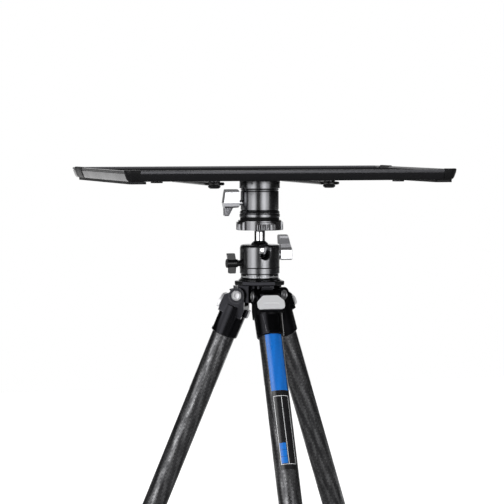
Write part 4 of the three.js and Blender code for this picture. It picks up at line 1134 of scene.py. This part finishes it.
def addLever(name, shape):
    making = leverMaking
    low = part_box(shape["node"])[0].z
    place = onStem(low - shape["rows"][0][0] * mm)
    build = bmesh.new()
    rings = []
    steps = making["steps"]
    for height, start, end, half, rib in shape["rows"]:
        face = [(start + (end - start) * k / steps, half - rib * (k % 2)) for k in range(steps + 1)]
        corners = [(x, -y) for x, y in face] + face[::-1]
        points = [Vector((x * shape["reach"], y, height)) * mm for x, y in corners]
        rings.append([build.verts.new(place @ point) for point in points])
    # The sides of the rows in the grip span take the second slot: the darker silver copy, as painted shade
    gripLow, gripHigh = shape["grip"]
    for row, below, above in zip(shape["rows"], rings, rings[1:]):
        for k in range(len(below)):
            n = (k + 1) % len(below)
            side = build.faces.new((below[k], below[n], above[n], above[k]))
            side.material_index = int(gripLow <= row[0] < gripHigh and k % (steps + 1) < steps)
    build.faces.new(rings[0])
    build.faces.new(rings[-1])
    radius, start, end = shape["shaft"]
    middle = Matrix.Translation((shape["reach"] * (start + end) / 2 * mm, 0, 0))
    bmesh.ops.create_cone(build, cap_ends=True, segments=making["shaftSides"], radius1=radius * mm,
                          radius2=radius * mm, depth=(end - start) * mm,
                          matrix=place @ middle @ Matrix.Rotation(math.pi / 2, 4, "Y"))
    piece = finishMesh(name, build, finishes["silver_anodised"], making["sharp"])
    piece.data.materials.append(shadedLeverGrip)
    addModifier(piece, "edges", "BEVEL", width=making["edge"] * mm, segments=making["edgeSegments"],
                angle_limit=math.radians(making["edgeAngle"]))
    addModifier(piece, "normals", "WEIGHTED_NORMAL", keep_sharp=True)
    standFor(piece, shape["body"], "silver_anodised", shape["node"])


for leg in legs:
    addHingePin(leg)
# A black ring in the housing's groove, as painted shade
addGrooveShade()
addReleaseRing()
for name, shape in levers.items():
    addLever(name, shape)
print("hinge pins, release ring and levers made")

# Post, ball and scale

postShape = {
    # Outline points of radius and height: up from the foot, and then from the upper part's drop from the top
    "foot": [(15.7, 0.0), (24.0, 0.0), (24.4, 0.5), (24.4, 3.6), (23.5, 4.3), (24.2, 5.0), (23.45, 7.6),
             (22.1, 8.4), (23.0, 9.2)],
    "top": [(23.0, 12.9), (22.1, 12.1), (23.0, 11.3), (23.0, 10.5), (22.1, 9.7), (24.4, 9.0), (24.4, 0.5),
            (23.9, 0.0), (5.06, 0.0), (5.06, 13.3), (15.7, 19.7)],
    "corner": 0.12, "sides": 128,
}


def addPost():
    # Waisted, with V grooves round it, and a hole that widens into the bore for the spigot
    low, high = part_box("post_body")
    height = (high.z - low.z) / mm
    profile = postShape["foot"] + [(radius, height - drop) for radius, drop in postShape["top"]]
    post = spin("quickReleasePost", profile, onStem(low.z), finishes["black_anodised"], postShape)
    standFor(post, "tray", "black_anodised", "post_body")


ballShape = {"radius": 13.0, "stem": 6.5, "reach": 23.8, "studRadius": 4.7, "stud": 11.0, "steps": 40,
             "corner": 0.25, "sides": 96}


def addBall():
    s = ballShape
    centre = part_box("ball_and_stem")[0].z / mm + s["radius"]
    profile = roundProfile(0.0, s["radius"], math.acos(s["stem"] / s["radius"]), s["steps"])
    profile += [(s["stem"], s["reach"]), (s["studRadius"], s["reach"]),
                (s["studRadius"], s["reach"] + s["stud"]), (0.0, s["reach"] + s["stud"])]
    ball = spin("polishedBall", profile, onStem(centre * mm), finishes["polished_ball"], s)
    standFor(ball, "ball", "polished_ball", "ball_and_stem")


scale = {
    # Outline points of radius and height: the flared foot, the band with the ticks, the ring and the boss
    "outline": [(5.06, 0.0), (25.2, 0.0), (25.6, 0.5), (23.3, 2.7), (22.8, 3.3), (22.8, 7.6), (22.4, 7.9),
                (19.8, 7.9), (19.8, 24.3), (17.6, 24.3), (17.6, 7.9), (12.0, 7.9), (12.0, 13.3),
                (5.06, 13.3)],
    "corner": 0.3, "sides": 128, "band": 22.8, "ticks": 72, "shortTick": 1.5, "longTick": 2.6,
    "long": 6,  # every sixth tick is a long one
    "tickWidth": 0.5, "tickDepth": 0.10, "rise": 4.0,
}


def addPanBase():
    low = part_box("pan_base")[0].z
    s = scale
    base = spin("panScaleBase", s["outline"], onStem(low), finishes["black_anodised"], s)
    standFor(base, "tripod_hub", "black_anodised", "pan_base")
    build = bmesh.new()
    for k in range(s["ticks"]):
        tall = s["longTick"] if k % s["long"] == 0 else s["shortTick"]
        turn = Matrix.Rotation(2 * math.pi * k / s["ticks"], 4, "Z")
        place = onStem(low) @ turn @ upright(s["band"] * mm, 0, (s["rise"] + tall / 2) * mm)
        size = Matrix.Diagonal((s["tickDepth"] * mm, s["tickWidth"] * mm, tall * mm, 1))
        bmesh.ops.create_cube(build, size=1.0, matrix=place @ size)
    standFor(finishMesh("scaleTicks", build, paleInk), "tripod_hub", "black_anodised")


addPost()
addBall()
addPanBase()
print("post, ball and scale made")
